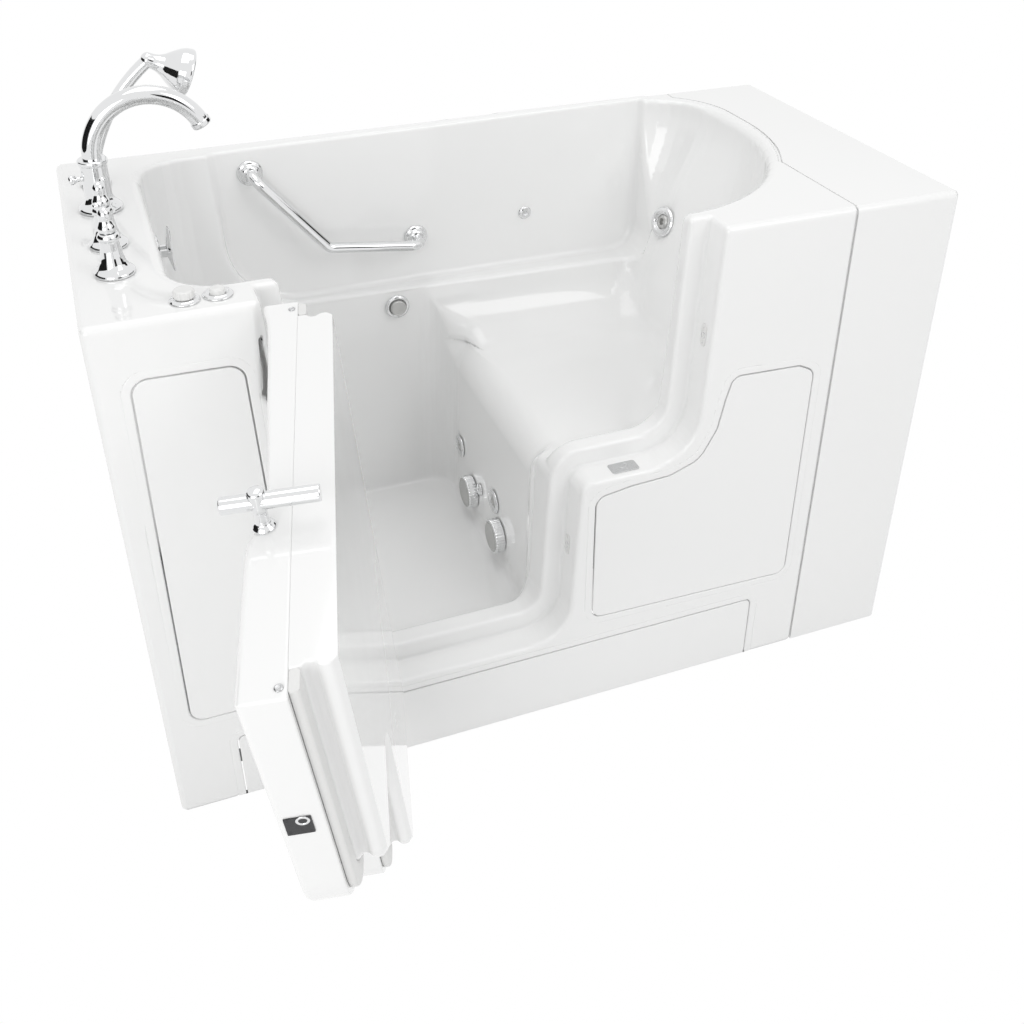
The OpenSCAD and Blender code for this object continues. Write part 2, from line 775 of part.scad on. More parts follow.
module suction_covers() {
    color(chrome) at_origin() for (at = suctions) facing_left(riser_x + 0.9, at)
        difference() {
            turned([
                [0, -40], [19, -40], [19, 1.2], [38, 1.2], [38, 20], [35, 24], [30, 25],
                [28, 23.5], [0, 23.5]
            ]);
            for (k = [0 : 23]) rotate([0, 0, k * 15]) translate([38.6, 0, 1])
                rod(1.6, 21);
        }
}

module jet_ring() {
    turned([
        [13, -22], [15.5, -22], [15.5, 0.6], [27, 0.6], [27, 3], [24, 5.5], [19, 6],
        [17, 4], [13, 3]
    ]);
}

module jet_rings() {
    color(chrome) at_origin() {
        for (at = riser_jets) facing_left(riser_x + 2, at) jet_ring();
        at_head_jet() scale([1.25, 1.25, 1.25]) jet_ring();
    }
}

// A nozzle that turns in its ring, with an eccentric mouth
module nozzle() {
    difference() {
        turned([[0, -14], [12, -14], [12.9, -6], [12.9, 2], [9, 4.5], [0, 5]]);
        translate([3.5, 0, -2]) cylinder(r1 = 3, r2 = 5, h = 9, $fn = round_fn);
        for (s = [-1, 1]) translate([-5, s * 7, 3]) rod(1.6, 4);
    }
}

module upper_riser_nozzle() {
    color(grey) at_origin() facing_left(riser_x + 2, riser_jets[0]) nozzle();
}
module lower_riser_nozzle() {
    color(grey) at_origin() facing_left(riser_x + 2, riser_jets[1]) nozzle();
}
module head_nozzle() {
    color(grey) at_origin() at_head_jet() scale([1.25, 1.25, 1.25]) nozzle();
}

module air_jet() {
    difference() {
        turned([[0, -30], [7, -30], [7, 0.5], [15, 0.5], [15, 2], [12, 5], [0, 6]]);
        translate([0, 0, 1]) rod(4, 8);
        for (k = [0 : 5]) rotate([0, 0, 60 * k]) translate([8.5, 0, 2]) rod(1.1, 8);
    }
}

module air_jets() {
    color(chrome) at_origin() {
        facing_left(riser_x + 1.5, riser_air_jet) air_jet();
        facing_front_on_back_wall(back_air_jet) air_jet();
    }
}

pump_at = [905, 330, 152];

module jet_pump() {
    color(black) at_origin() translate(pump_at) {
        difference() {
            union() {
                rotate([0, 90, 0]) turned([
                    [0, 0], [70, 0], [84, 12], [84, 44], [64, 60], [60, 70], [60, 250],
                    [50, 262], [0, 262]
                ]);
                translate([-34, 0, 0]) rotate([0, 90, 0]) rod(30, 60);
                translate([28, 50, 0]) rod(26, 107);
                for (k = [0 : 35]) rotate([10 * k, 0, 0])
                    translate([92, -1, 57]) cube([130, 2, 7]);
                for (x = [cross_rails[3], cross_rails[4]])
                    translate([x - pump_at.x, -55, frame_low + angle_leg - pump_at.z])
                        cube([22, 110, 60]);
            }
            translate([-35, 0, 0]) rotate([0, 90, 0]) rod(24, 50);
            translate([28, 50, 60]) rod(20, 51);
        }
    }
}

module air_blower() {
    color(grey) at_origin() translate([1075, 590, frame_low + angle_leg + bar]) {
        turned([
            [0, 0], [60, 0], [66, 6], [66, 90], [60, 100], [60, 150], [44, 168], [0, 172]
        ]);
        translate([0, 0, 130]) rotate([0, -90, 0]) rod(20, 110);
    }
}

// Suction and pressure manifolds behind the riser
module jet_pipes() {
    header_x = riser_x + 62;
    color("gainsboro") at_origin() {
        // suction side
        translate([header_x, 300, 213]) rotate([-90, 0, 0]) rod(19, 210);
        for (at = suctions) facing_right(riser_x + 42, at) rod(22, 20);
        translate([header_x, 330, 152]) rod(19, 61);
        translate([header_x, 330, 152]) sphere(r = 19, $fn = round_fn);
        translate([header_x, 330, 152]) rotate([0, 90, 0]) rod(19, 63);
        // pressure side
        translate([header_x, 340, 277]) rotate([-90, 0, 0]) rod(16, 258);
        for (at = riser_jets) facing_right(riser_x + 24.5, at) rod(19, 40);
        translate([933, 380, 263]) rod(18, 14);
        translate([933, 380, 277]) sphere(r = 18, $fn = round_fn);
        translate([header_x, 380, 277]) rotate([0, 90, 0]) rod(16, 126);
    }
}

// ---------- grab bar ----------

grab_upper = [357, 954];        // x, z
grab_bend = [496, 787];
grab_lower = [697, 761];
grab_bar_y = 652;

module grab_bar() {
    color(chrome) at_origin() bent_tube([
        [grab_upper.x, back_wall_y(grab_upper.x) - 8.5, grab_upper.y],
        [grab_upper.x, grab_bar_y, grab_upper.y],
        [grab_bend.x, grab_bar_y, grab_bend.y],
        [grab_lower.x, grab_bar_y, grab_lower.y],
        [grab_lower.x, back_wall_y(grab_lower.x) - 8.5, grab_lower.y]
    ], 26, grab_radius);
}

module grab_bar_flanges() {
    color(chrome) at_origin() for (at = [grab_upper, grab_lower])
        facing_front_on_back_wall(at) difference() {
            turned([
                [0, 0], [26, 0], [26, 5], [22, 8], [18, 9], [18, 12], [14, 16],
                [12.5, 17], [0, 17]
            ]);
            translate([0, 0, 8]) rod(grab_radius + 0.6, 20);
        }
}

// ---------- door furniture on the frame side ----------

module strike_plate() {
    color(steel) at_origin() difference() {
        union() {
            box(859, 914, 16, 44, ledge_z, ledge_z + trim);
            box(859, 914, 13.5, 16, ledge_z, ledge_z + trim + 0.6);
        }
        translate([ledge_bolt_at.x, ledge_bolt_at.y, ledge_z - 5]) rod(7, 20);
        for (x = [866, 907]) translate([x, 30, ledge_z - 5]) rod(2.2, 20);
    }
}

module catch_plate() {
    difference() {
        union() {
            for (s = [-1, 1]) translate([s * 13, 0, 0]) rod(9, trim);
            translate([-13, -9, 0]) cube([26, 18, trim]);
        }
        translate([0, 0, -1]) rod(6, 6);
        for (s = [-1, 1]) translate([s * 15, 0, -1]) rod(1.8, 6);
    }
}

// The jambs lean a little, and each catch lies on its own jamb
module jamb_catches() {
    color("whitesmoke") at_origin() {
        translate([1033.1, upper_bolt_at.x, upper_bolt_at.y]) rotate([0, -87.41, 0])
            catch_plate();
        translate([782.4, lower_bolt_at.x, lower_bolt_at.y]) rotate([0, -86.96, 0])
            catch_plate();
    }
}

// ---------- hinges ----------

knuckle = 22;
knuckle_radius = 9.5;
leaf = 3;

// Each hinge has five knuckles, and the frame carries every other one
module knuckles(first) {
    for (k = [first : 2 : 4]) translate([0, 0, (k - 2.5) * knuckle + 0.15]) difference() {
        rod(knuckle_radius, knuckle - 0.3);
        translate([0, 0, -1]) rod(hinge_pin_radius + running_gap, knuckle + 2);
    }
}

module knuckle_webs(first, reach) {
    for (k = [first : 2 : 4]) translate([0, 0, (k - 2.5) * knuckle + 0.15]) difference() {
        translate([min(0, reach), -leaf / 2, 0]) cube([abs(reach), leaf, knuckle - 0.3]);
        translate([0, 0, -1]) rod(hinge_pin_radius + 2, knuckle + 2);
    }
}

module hinge_frame_leaves() {
    reach = pillar_x - hinge_x;
    color(steel) at_origin() for (down = hinge_stations) on_hinge_line(down) {
        knuckles(0);
        knuckle_webs(0, reach + 1);
        translate([reach + 0.3, -9, -2.5 * knuckle]) cube([leaf, 44, 5 * knuckle]);
    }
}

module hinge_pins() {
    color(chrome) at_origin() for (down = hinge_stations) on_hinge_line(down)
        translate([0, 0, -2.5 * knuckle - 4]) {
            rod(hinge_pin_radius, 5 * knuckle + 8);
            rod(hinge_pin_radius + 2, 3.8);
            translate([0, 0, 5 * knuckle + 4.2]) rod(hinge_pin_radius + 2, 3.8);
        }
}

module hinge_door_leaves() {
    reach = pillar_x + hinge_gap - hinge_x;
    color(steel) hung_on_door() for (down = hinge_stations) on_hinge_line(down) {
        knuckles(1);
        knuckle_webs(1, reach - 1);
        translate([reach - leaf - 0.3, -9, -1.5 * knuckle + 0.15])
            cube([leaf, 44, 3 * knuckle - 0.3]);
    }
}

// ---------- door ----------

// Shallow recess in the door's face below its top edge
scoop = [[304, 0], [353, 9], [541, 16], [720, 22], [786, 10], [812, 0]];
scoop_height = 190;

module face_scoop(grow) {
    hull() {
        translate([0, 0, tub_height - 1]) linear_extrude(60)
            polygon([for (p = scoop)
                [p.x + (p.x < 500 ? -grow : grow), p.y - 0.01 + (p.y > 0 ? grow : 0)]]);
        box(380, 790, -1, grow, tub_height - scoop_height - grow,
            tub_height - scoop_height);
    }
}

module door_outer_shell() {
    edge = rolled_edge(9);
    color(white) hung_on_door() difference() {
        lofted_slab(
            concat([for (l = edge) door_outline(l[1])],
                [door_outline(0), door_outline(1.2), door_outline(4)]),
            concat([for (l = edge) l[0]], [door_shell - 4, door_shell - 1.2, door_shell])
        );
        face_scoop(0);
        difference() {
            slab(door_outline(door_skin), door_skin, door_shell + 1);
            face_scoop(door_skin);
        }
        translate([latch_x, latch_y, 780]) rod(8.4, 240);
        facing_right(1000, upper_bolt_at) rod(6, 60);
        facing_right(750, lower_bolt_at) rod(6, 60);
        translate([ledge_bolt_at.x, ledge_bolt_at.y, ledge_z - 10]) rod(6, 40);
    }
}

// Rim bead, gasket valley and inner face, as [y, inset]
panel_layers = [
    [54, 38], [60, 37], [64, 38], [70, 44], [80, 44.6], [84, 41.5],
    [86, 38.5], [96, 38], [101, 40.5], [104, 46]
];

module door_inner_panel() {
    color(white) hung_on_door() difference() {
        lofted_slab([for (l = panel_layers) flush_door_outline(l[1])],
            [for (l = panel_layers) l[0]]);
        slab(hollow_outline(50), door_shell + door_skin, door_depth - door_skin);
    }
}

module door_seal() {
    color(white) hung_on_door() difference() {
        slab(flush_door_outline(10), door_shell, rebate - 0.4);
        slab(outline(door_corners(tub_height + 60), 30), door_shell - 1, rebate + 1);
    }
}

module seam_buttons() {
    color(steel) hung_on_door() for (x = [324, 1024])
        translate([x, door_shell - 9, tub_height]) turned([
            [0, 0.2], [5, 0.2], [5, 1.2], [3.5, 2.2], [0, 2.4]
        ]);
}

// ---------- latch ----------

// The free end of the door, and the jamb beside it, lean back by this much
jamb_lean = 2.59;
free_end_x = 1028.9;            // at the height of the latch

module latch_plate() {
    color(black) hung_on_door()
        translate([free_end_x + 0.4, 24.5, 778]) rotate([0, 90 + jamb_lean, 0])
            difference() {
                translate([-16.5, -15.5, 0]) cube([33, 31, trim]);
                translate([-9.5, 5.5, -5]) rod(6.5, 12);
                for (x = [-12.5, 12.5]) for (y = [-11.5, 11.5])
                    translate([x, y, -1]) rod(1.7, 5);
            }
}

module latch_case() {
    color(steel) hung_on_door() difference() {
        box(744, 826, 8, 50, 700, 785);
        translate([latch_x, latch_y, 690]) rod(8.3, 110);
    }
}

handle_z = tub_height + 40;

module latch_handle() {
    color(chrome) hung_on_door() translate([latch_x, latch_y, 0]) {
        translate([0, 0, 705]) rod(8, handle_z - 705);
        translate([0, 0, tub_height + 0.4]) turned([
            [0, 0], [14, 0], [14, 2], [10, 6], [8, 9], [0, 9]
        ]);
        translate([0, -43, handle_z]) rotate([-90, 0, 0]) turned([
            [0, 0], [9, 0], [10.5, 1.5], [10.5, 113.5], [9, 115], [0, 115]
        ]);
        translate([0, 0, handle_z]) turned([
            [0, 0], [11, 0], [11, 12], [9.5, 15.5], [6, 17.6], [0, 18.5]
        ]);
    }
}

module upper_bolt() {
    color(steel) hung_on_door() facing_right(840, upper_bolt_at) turned([
        [0, 0], [5, 0], [5, 186], [3, 189], [0, 190]
    ]);
}

module lower_bolt() {
    color(steel) hung_on_door() facing_right(600, lower_bolt_at) turned([
        [0, 0], [5, 0], [5, 175.5], [3, 178.2], [0, 179]
    ]);
}

module ledge_bolt() {
    color(steel) hung_on_door()
        translate([ledge_bolt_at.x, ledge_bolt_at.y, ledge_z + door_gap - 0.4]) turned([
            [0, 0], [3, 1], [5, 3.5], [5, 230], [0, 230]
        ]);
}

// ---------- taps and controls ----------

bell = [
    [0, -30], [10.3, -30], [10.3, 0.4], [31, 0.4], [32, 3], [31, 7], [27, 10],
    [22, 17], [18, 28], [15.5, 42], [14.5, 56], [17, 60], [17, 64], [14, 68], [0, 68]
];

module valve_at(at) {
    at_origin() translate([at.x, at.y, tub_height]) turned(bell);
}

// Hub with a lever that rises gently to a knob end
module lever_at_angle(at, angle) {
    at_origin() translate([at.x, at.y, tub_height + 68.3]) rotate([0, 0, angle]) {
        turned([
            [0, 0], [12, 0], [14, 4], [13, 12], [9, 20], [10, 26], [9, 33], [5, 38],
            [0, 40]
        ]);
        hull() {
            translate([8, 0, 15]) rotate([0, 90, 0]) cylinder(r = 5, h = 1, $fn = 16);
            translate([48, 0, 24]) sphere(r = 3.6, $fn = 16);
        }
        translate([50, 0, 24.5]) sphere(r = 6, $fn = round_fn);
    }
}

module hot_valve() { color(chrome) valve_at(hot_at); }
module cold_valve() { color(chrome) valve_at(cold_at); }
module hot_lever() { color(chrome) lever_at_angle(hot_at, 100); }
module cold_lever() { color(chrome) lever_at_angle(cold_at, 80); }

spout_body_top = 91;
spout_arc = 99;
spout_tip_angle = 27;

module spout() {
    color(chrome) at_origin() translate([spout_at.x, spout_at.y, tub_height]) difference() {
        union() {
            turned([
                [0, -30], [10.3, -30], [10.3, 0.4], [36, 0.4], [38, 3], [37, 8],
                [30, 14], [24.5, 20], [23, 28], [23, 82], [25.5, 84], [25.5, 90],
                [23, 92], [0, 92]
            ]);
            translate([spout_arc, 0, spout_body_top]) rotate([90, 0, 0])
                rotate([0, 0, spout_tip_angle])
                    rotate_extrude(angle = 180 - spout_tip_angle, $fn = 96)
                        translate([spout_arc, 0]) circle(r = 16, $fn = round_fn);
            translate([
                spout_arc * (1 + cos(spout_tip_angle)), 0,
                spout_body_top + spout_arc * sin(spout_tip_angle)
            ]) rotate([0, 180 - spout_tip_angle, 0])
                turned([[11, -2], [18, -2], [18, 6], [17, 8], [11, 8]]);
        }
        translate([-60, 0, 58]) rotate([0, 90, 0]) rod(4.5 + running_gap, 55);
    }
}

module diverter_knob() {
    color(chrome) at_origin() translate([spout_at.x, spout_at.y, tub_height + 58])
        rotate([0, -90, 0]) turned([
            [0, 10], [4.5, 10], [4.5, 32], [8, 35], [9, 40], [6, 44], [0, 45]
        ]);
}

// The cradle leans its socket a little towards the basin
cradle_tilt = 20;

module in_cradle() {
    at_origin() translate([cradle_at.x, cradle_at.y, tub_height + 34])
        rotate([0, cradle_tilt, 0]) children();
}

module shower_cradle() {
    color(chrome) {
        at_origin() translate([cradle_at.x, cradle_at.y, tub_height]) turned([
            [0, -30], [10.3, -30], [10.3, 0.4], [27, 0.4], [28, 3], [27, 7], [20, 12],
            [15, 18], [14, 24], [0, 24]
        ]);
        difference() {
            in_cradle() turned([
                [0, -14], [12, -14], [17, -6], [18, 6], [19, 22], [16.5, 22], [14.2, 4],
                [0, 4]
            ]);
            at_origin() translate([0, 0, tub_height - 40]) cube([300, 740, 40.4]);
        }
    }
}

// Curved handle with a flared head, standing in the cradle
module hand_shower() {
    arc = 330;
    sweep = 34;
    color(chrome) in_cradle() {
        translate([0, 0, 4.5]) turned([[0, 0], [12, 0], [13.6, 6], [13, 26], [0, 26]]);
        translate([0, 0, 28]) {
            translate([arc, 0, 0]) rotate([90, 0, 0]) rotate([0, 0, 180 - sweep])
                rotate_extrude(angle = sweep, $fn = 120)
                    translate([arc, 0]) circle(r = 11.5, $fn = round_fn);
            translate([arc * (1 - cos(sweep)), 0, arc * sin(sweep)])
                rotate([0, sweep + 60, 0]) {
                    sphere(r = 14, $fn = round_fn);
                    turned([
                        [0, 0], [12, 0], [15, 16], [20, 26], [31, 40], [41, 58],
                        [43, 70], [40, 74], [0, 74]
                    ]);
                }
        }
    }
}

module control_flanges() {
    color(chrome) at_origin() for (at = [air_knob_at, air_button_at])
        translate([at.x, at.y, tub_height]) turned([
            [12, -16], [13.6, -16], [13.6, 0.4], [23, 0.4], [23, 2], [20, 5], [17, 6],
            [16, 3], [12, 3]
        ]);
}

module air_control_knob() {
    color(white) at_origin() translate([air_knob_at.x, air_knob_at.y, tub_height])
        difference() {
            turned([
                [0, -12], [11.6, -12], [11.6, 4], [15.5, 7], [15.5, 16], [13.5, 18.5],
                [0, 19]
            ]);
            for (k = [0 : 11]) rotate([0, 0, 30 * k]) translate([16.3, 0, 8]) rod(1.5, 14);
        }
}

module air_button() {
    color(white) at_origin() translate([air_button_at.x, air_button_at.y, tub_height])
        turned([[0, -8], [11.6, -8], [11.6, 10], [10, 12.5], [0, 14]]);
}

// Hot and cold tails under the deck, with a link to the spout and the cradle
module supply_pipes() {
    z = tub_height - 120;
    color("orangered") at_origin() {
        for (at = [hot_at, cold_at, spout_at, cradle_at])
            translate([at.x, at.y, z]) rod(8, 89.5);
        for (at = [hot_at, cold_at, spout_at, cradle_at])
            translate([at.x, at.y, z + 60]) cylinder(r = 14, h = 26, $fn = 6);
        translate([66, hot_at.y, z]) rotate([-90, 0, 0])
            rod(8, cradle_at.y - hot_at.y);
        for (at = [hot_at, cradle_at]) translate([at.x, at.y, z])
            sphere(r = 8, $fn = round_fn);
        for (at = [hot_at, cold_at]) {
            translate([at.x, at.y, z]) rotate([0, -90, 0]) rod(8, 30);
            translate([at.x - 30, at.y, z]) rotate([0, -90, 0]) rod(inlet_radius, 24);
        }
    }
}

bath_shell();
extension_panel();
left_access_panel();
right_access_panel();
toe_kick_panel();
base_frame();
levelling_feet();
drain_flange();
drain_stopper();
waste_pipe();
overflow_cover();
drain_lever_plate();
drain_lever();
suction_covers();
jet_rings();
upper_riser_nozzle();
lower_riser_nozzle();
head_nozzle();
air_jets();
jet_pump();
air_blower();
jet_pipes();
grab_bar();
grab_bar_flanges();
strike_plate();
jamb_catches();
hinge_frame_leaves();
hinge_pins();
hinge_door_leaves();
door_outer_shell();
door_inner_panel();
door_seal();
seam_buttons();
latch_plate();
latch_case();
latch_handle();
upper_bolt();
ledge_bolt();
lower_bolt();
spout();
diverter_knob();
hot_valve();
cold_valve();
hot_lever();
cold_lever();
shower_cradle();
hand_shower();
control_flanges();
air_control_knob();
air_button();
supply_pipes();
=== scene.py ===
# Looks of the walk-in bath. Sizes are in millimetres in the frame of the bath's front-left
# corner on the floor (x along the bath, y away from the front, z up) and are turned to
# metres about the bath's plan centre when a mesh is made.
import math
from functools import reduce

import bmesh
import bpy
import numpy as np
import openvdb
from mathutils import Matrix, Vector
from mathutils.geometry import delaunay_2d_cdt


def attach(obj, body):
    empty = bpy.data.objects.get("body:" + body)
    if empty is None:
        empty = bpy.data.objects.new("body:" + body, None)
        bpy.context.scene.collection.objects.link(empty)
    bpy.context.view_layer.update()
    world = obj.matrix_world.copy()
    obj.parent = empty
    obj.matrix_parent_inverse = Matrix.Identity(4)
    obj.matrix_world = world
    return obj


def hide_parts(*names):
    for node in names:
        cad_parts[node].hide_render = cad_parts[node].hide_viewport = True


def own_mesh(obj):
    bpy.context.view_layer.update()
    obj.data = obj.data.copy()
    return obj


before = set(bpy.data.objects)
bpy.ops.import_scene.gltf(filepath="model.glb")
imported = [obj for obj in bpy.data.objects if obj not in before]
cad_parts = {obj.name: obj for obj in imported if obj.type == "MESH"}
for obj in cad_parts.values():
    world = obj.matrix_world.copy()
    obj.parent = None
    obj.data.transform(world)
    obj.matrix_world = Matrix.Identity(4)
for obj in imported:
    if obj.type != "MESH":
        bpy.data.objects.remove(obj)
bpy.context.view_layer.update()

MM = 0.001
TUB_LENGTH = 1304
TUB_DEPTH = 740
TUB_HEIGHT = 1003
OVERALL_LENGTH = 1524
WALL = 6
CASING_ROUND = 12
SHELL_STEP = 5.0
ORIGIN = np.array([TUB_LENGTH / 2, TUB_DEPTH / 2, 0.0])
X, Y, Z = (1, 0, 0), (0, 1, 0), (0, 0, 1)
WHITE = (1, 1, 1, 1)

# ---------- camera and light ----------

CAMERA_PLACE = (-0.5981, -1.9563, 1.7672)
CAMERA_TILT = 58.735
CAMERA_TURN = -20.927
CAMERA_LENS = 41.12
CAMERA_SHIFT = (-0.0035, -0.1033)
WORLD_LIGHT = 0.7


def linked(name, data):
    """A new object of the scene."""
    thing = bpy.data.objects.new(name, data)
    bpy.context.scene.collection.objects.link(thing)
    return thing


def make_camera():
    data = bpy.data.cameras.new("camera")
    data.sensor_width = 36
    data.lens = CAMERA_LENS
    data.shift_x, data.shift_y = CAMERA_SHIFT
    data.clip_end = 50
    camera = linked("camera", data)
    camera.location = CAMERA_PLACE
    camera.rotation_euler = (math.radians(CAMERA_TILT), 0, math.radians(CAMERA_TURN))
    bpy.context.scene.camera = camera


def cleared(holder):
    """The node tree of a world or material, with nothing in it."""
    holder.use_nodes = True
    holder.node_tree.nodes.clear()
    return holder.node_tree


def feed(tree, node, inputs):
    """Sets a shader node's inputs, each to a value or from another node's output."""
    for key, value in inputs.items():
        if isinstance(value, bpy.types.NodeSocket):
            tree.links.new(value, node.inputs[key])
        else:
            node.inputs[key].default_value = value
    return node


def new_node(tree, kind, inputs):
    return feed(tree, tree.nodes.new("ShaderNode" + kind), inputs)


def split_by_ray(tree, rays, shown, lit, output):
    """Gives rays of the named kinds one shader, and all others another."""
    path = new_node(tree, "LightPath", {})
    mask = path.outputs[rays[0]]
    for ray in rays[1:]:
        larger = new_node(tree, "Math", {0: mask, 1: path.outputs[ray]})
        larger.operation = "MAXIMUM"
        mask = larger.outputs[0]
    mix = new_node(tree, "MixShader", {0: mask, 1: lit.outputs[0], 2: shown.outputs[0]})
    new_node(tree, output, {0: mix.outputs[0]})


def make_world():
    """Plain white to camera, mirror and glass rays, and a softer light to the rest."""
    world = bpy.data.worlds.new("studio")
    tree = cleared(world)
    white = new_node(tree, "Background", {"Color": WHITE})
    lit = new_node(tree, "Background", {"Color": WHITE, "Strength": WORLD_LIGHT})
    rays = ("Is Camera Ray", "Is Glossy Ray", "Is Transmission Ray")
    split_by_ray(tree, rays, white, lit, "OutputWorld")
    bpy.context.scene.world = world


def make_lamp(name, place, aim, size, power):
    data = bpy.data.lights.new(name, "AREA")
    data.shape = "RECTANGLE"
    data.size, data.size_y = size
    data.energy = power
    lamp = linked(name, data)
    lamp.location = place
    lamp.rotation_euler = (Vector(aim) - Vector(place)).to_track_quat("-Z", "Y").to_euler()


def make_lamps():
    make_lamp("key", (1.6, -2.2, 2.9), (0.1, 0, 0.5), (1.6, 1.6), 16)
    make_lamp("fill", (-2.0, -2.8, 1.6), (-0.1, 0, 0.4), (1.8, 1.8), 24)
    make_lamp("top", (-0.2, 0.1, 3.4), (0, 0, 0.3), (2.2, 1.4), 12)


# ---------- small mesh tools ----------

SHARP_ANGLE = 40
WELD = 1e-7
ODD_WAY = (0.31, 0.2, 0.93)     # a direction that no bar starts in


def to_row(points):
    """Millimetres in the bath's frame to metres in the row frame."""
    return (np.asarray(points, float) - ORIGIN) * MM


def shade(thing):
    """Shades a piece smoothly and keeps its sharp edges."""
    for face in thing.data.polygons:
        face.use_smooth = True
    thing.data.set_sharp_from_angle(angle=math.radians(SHARP_ANGLE))
    weighted = thing.modifiers.new("shading", "WEIGHTED_NORMAL")
    weighted.keep_sharp = True


def new_object(name, points, faces):
    """A mesh object from points in the bath's frame."""
    mesh = bpy.data.meshes.new(name)
    mesh.from_pydata([tuple(p) for p in to_row(points)], [], faces)
    mesh.validate()
    made = bmesh.new()
    made.from_mesh(mesh)
    bmesh.ops.remove_doubles(made, verts=made.verts, dist=WELD)
    bmesh.ops.recalc_face_normals(made, faces=made.faces)
    made.to_mesh(mesh)
    made.free()
    thing = linked(name, mesh)
    shade(thing)
    return thing


def joined(name, *parts):
    """One object from several parts, each a pair of points and faces."""
    points, faces = [], []
    for part_points, part_faces in parts:
        faces += [tuple(i + len(points) for i in face) for face in part_faces]
        points += [tuple(p) for p in part_points]
    return new_object(name, points, faces)


def moved(points, place):
    return np.asarray(points, float) @ place[:3, :3].T + place[:3, 3]


def put(part, place):
    """A part's points and faces, carried to its place."""
    return moved(part[0], place), part[1]


def soften(profile, radius, closed, steps=4):
    """Rounds the corners of a line by up to that radius."""
    line = [np.array(p, float) for p in profile]
    n = len(line)
    out = []
    for i, at in enumerate(line):
        if not closed and i in (0, n - 1):
            out.append(at)
            continue
        to_last, to_next = line[i - 1] - at, line[(i + 1) % n] - at
        reach = min(radius, 0.45 * np.linalg.norm(to_last), 0.45 * np.linalg.norm(to_next))
        start = at + to_last / np.linalg.norm(to_last) * reach
        end = at + to_next / np.linalg.norm(to_next) * reach
        for k in range(steps + 1):
            t = k / steps
            out.append(start * (1 - t) ** 2 + 2 * at * t * (1 - t) + end * t * t)
    return out


def arc(centre, radii, start, end, steps):
    """Points of part of an ellipse, between two angles in degrees."""
    angles = [math.radians(start + (end - start) * k / steps) for k in range(steps + 1)]
    return [(centre[0] + radii[0] * math.cos(a), centre[1] + radii[1] * math.sin(a)) for a in angles]


def edge_round(radius, steps):
    """Inset and depth of the lines across a rounded edge, from the face to the side."""
    return arc((radius, radius), (-radius, -radius), 90, 0, steps)


def circle(count):
    return [2 * math.pi * k / count for k in range(count)]


def grid_faces(rows, columns, close_rows, close_columns):
    """Quads between the points of a grid that is stored row by row."""
    faces = []
    for i in range(rows if close_rows else rows - 1):
        for k in range(columns if close_columns else columns - 1):
            below, above = i * columns, (i + 1) % rows * columns
            following = (k + 1) % columns
            faces.append((below + k, below + following, above + following, above + k))
    return faces


def lathe(profile, place, soft=0.8, segments=64):
    """Points and faces of a turned form. The profile is (radius, height) and the form stands
    on the plane that `place` carries to its spot."""
    on_axis = profile[0][0] == 0 and profile[-1][0] == 0
    line = soften(profile, soft, not on_axis)
    points = [(p[0] * math.cos(a), p[0] * math.sin(a), p[1]) for p in line for a in circle(segments)]
    return put((points, grid_faces(len(line), segments, not on_axis, True)), place)


def stacked(rings, capped=True):
    """Points and faces of a form whose rings all have the same number of points."""
    rings = [np.asarray(r, float) for r in rings]
    count = len(rings[0])
    faces = grid_faces(len(rings), count, False, True)
    if capped:
        faces += [tuple(range(count)), tuple(range((len(rings) - 1) * count, len(rings) * count))]
    return np.concatenate(rings), faces


def headings(path):
    """Unit directions along a path."""
    ahead = np.gradient(path, axis=0)
    return ahead / np.linalg.norm(ahead, axis=1)[:, None]


def tube(path, radius, sides=32):
    """Points and faces of a round bar along a path."""
    path = np.array(path, float)
    ahead = headings(path)
    across = np.cross(ahead[0], ODD_WAY)
    rings = []
    for at, way, r in zip(path, ahead, np.broadcast_to(radius, (len(path),))):
        across = across - way * (across @ way)
        across /= np.linalg.norm(across)
        other = np.cross(way, across)
        rings.append([at + r * (math.cos(a) * across + math.sin(a) * other) for a in circle(sides)])
    return stacked(rings)


def bent(points, bend, steps=14):
    """A path that turns its corners on arcs."""
    points = [np.array(p, float) for p in points]
    path = [points[0]]
    for last, at, following in zip(points, points[1:], points[2:]):
        d1 = (at - last) / np.linalg.norm(at - last)
        d2 = (following - at) / np.linalg.norm(following - at)
        turn = math.acos(float(np.clip(d1 @ d2, -1, 1)))
        inward = d2 - (d2 @ d1) * d1
        inward /= np.linalg.norm(inward)
        centre = at - bend * math.tan(turn / 2) * d1 + bend * inward
        for k in range(steps + 1):
            a = turn * k / steps
            path.append(centre + bend * (d1 * math.sin(a) - inward * math.cos(a)))
    path.append(points[-1])
    return path


def upright(flat, y):
    """(x, z) points of an elevation, at depth y."""
    return np.column_stack([flat[:, 0], np.full(len(flat), float(y)), flat[:, 1]])


def level(flat, z):
    """(x, y) points of a plan, at height z."""
    return np.column_stack([flat, np.full(len(flat), float(z))])


# ---------- placing ----------

HINGE_LEAN = 4.893
DOOR_OPEN = 103.75
HINGE_TOP = (278.6, 15.5, TUB_HEIGHT)
HINGE_AXIS = (-math.sin(math.radians(HINGE_LEAN)), 0, math.cos(math.radians(HINGE_LEAN)))
POCKET_TURN = 2.3
POCKET_CORNER = (276, 690)
HEAD_JET = (1249.4, 607, 751.6)
HEAD_JET_YAW = 12
HEAD_JET_TILT = 19
HEAD_JET_SIZE = 1.25


def turn_about(axis, degrees):
    return np.array(Matrix.Rotation(math.radians(degrees), 4, Vector(axis)))


def shift(x, y, z):
    return np.array(Matrix.Translation((x, y, z)))


def standing(at, height=TUB_HEIGHT):
    return shift(*at, height)


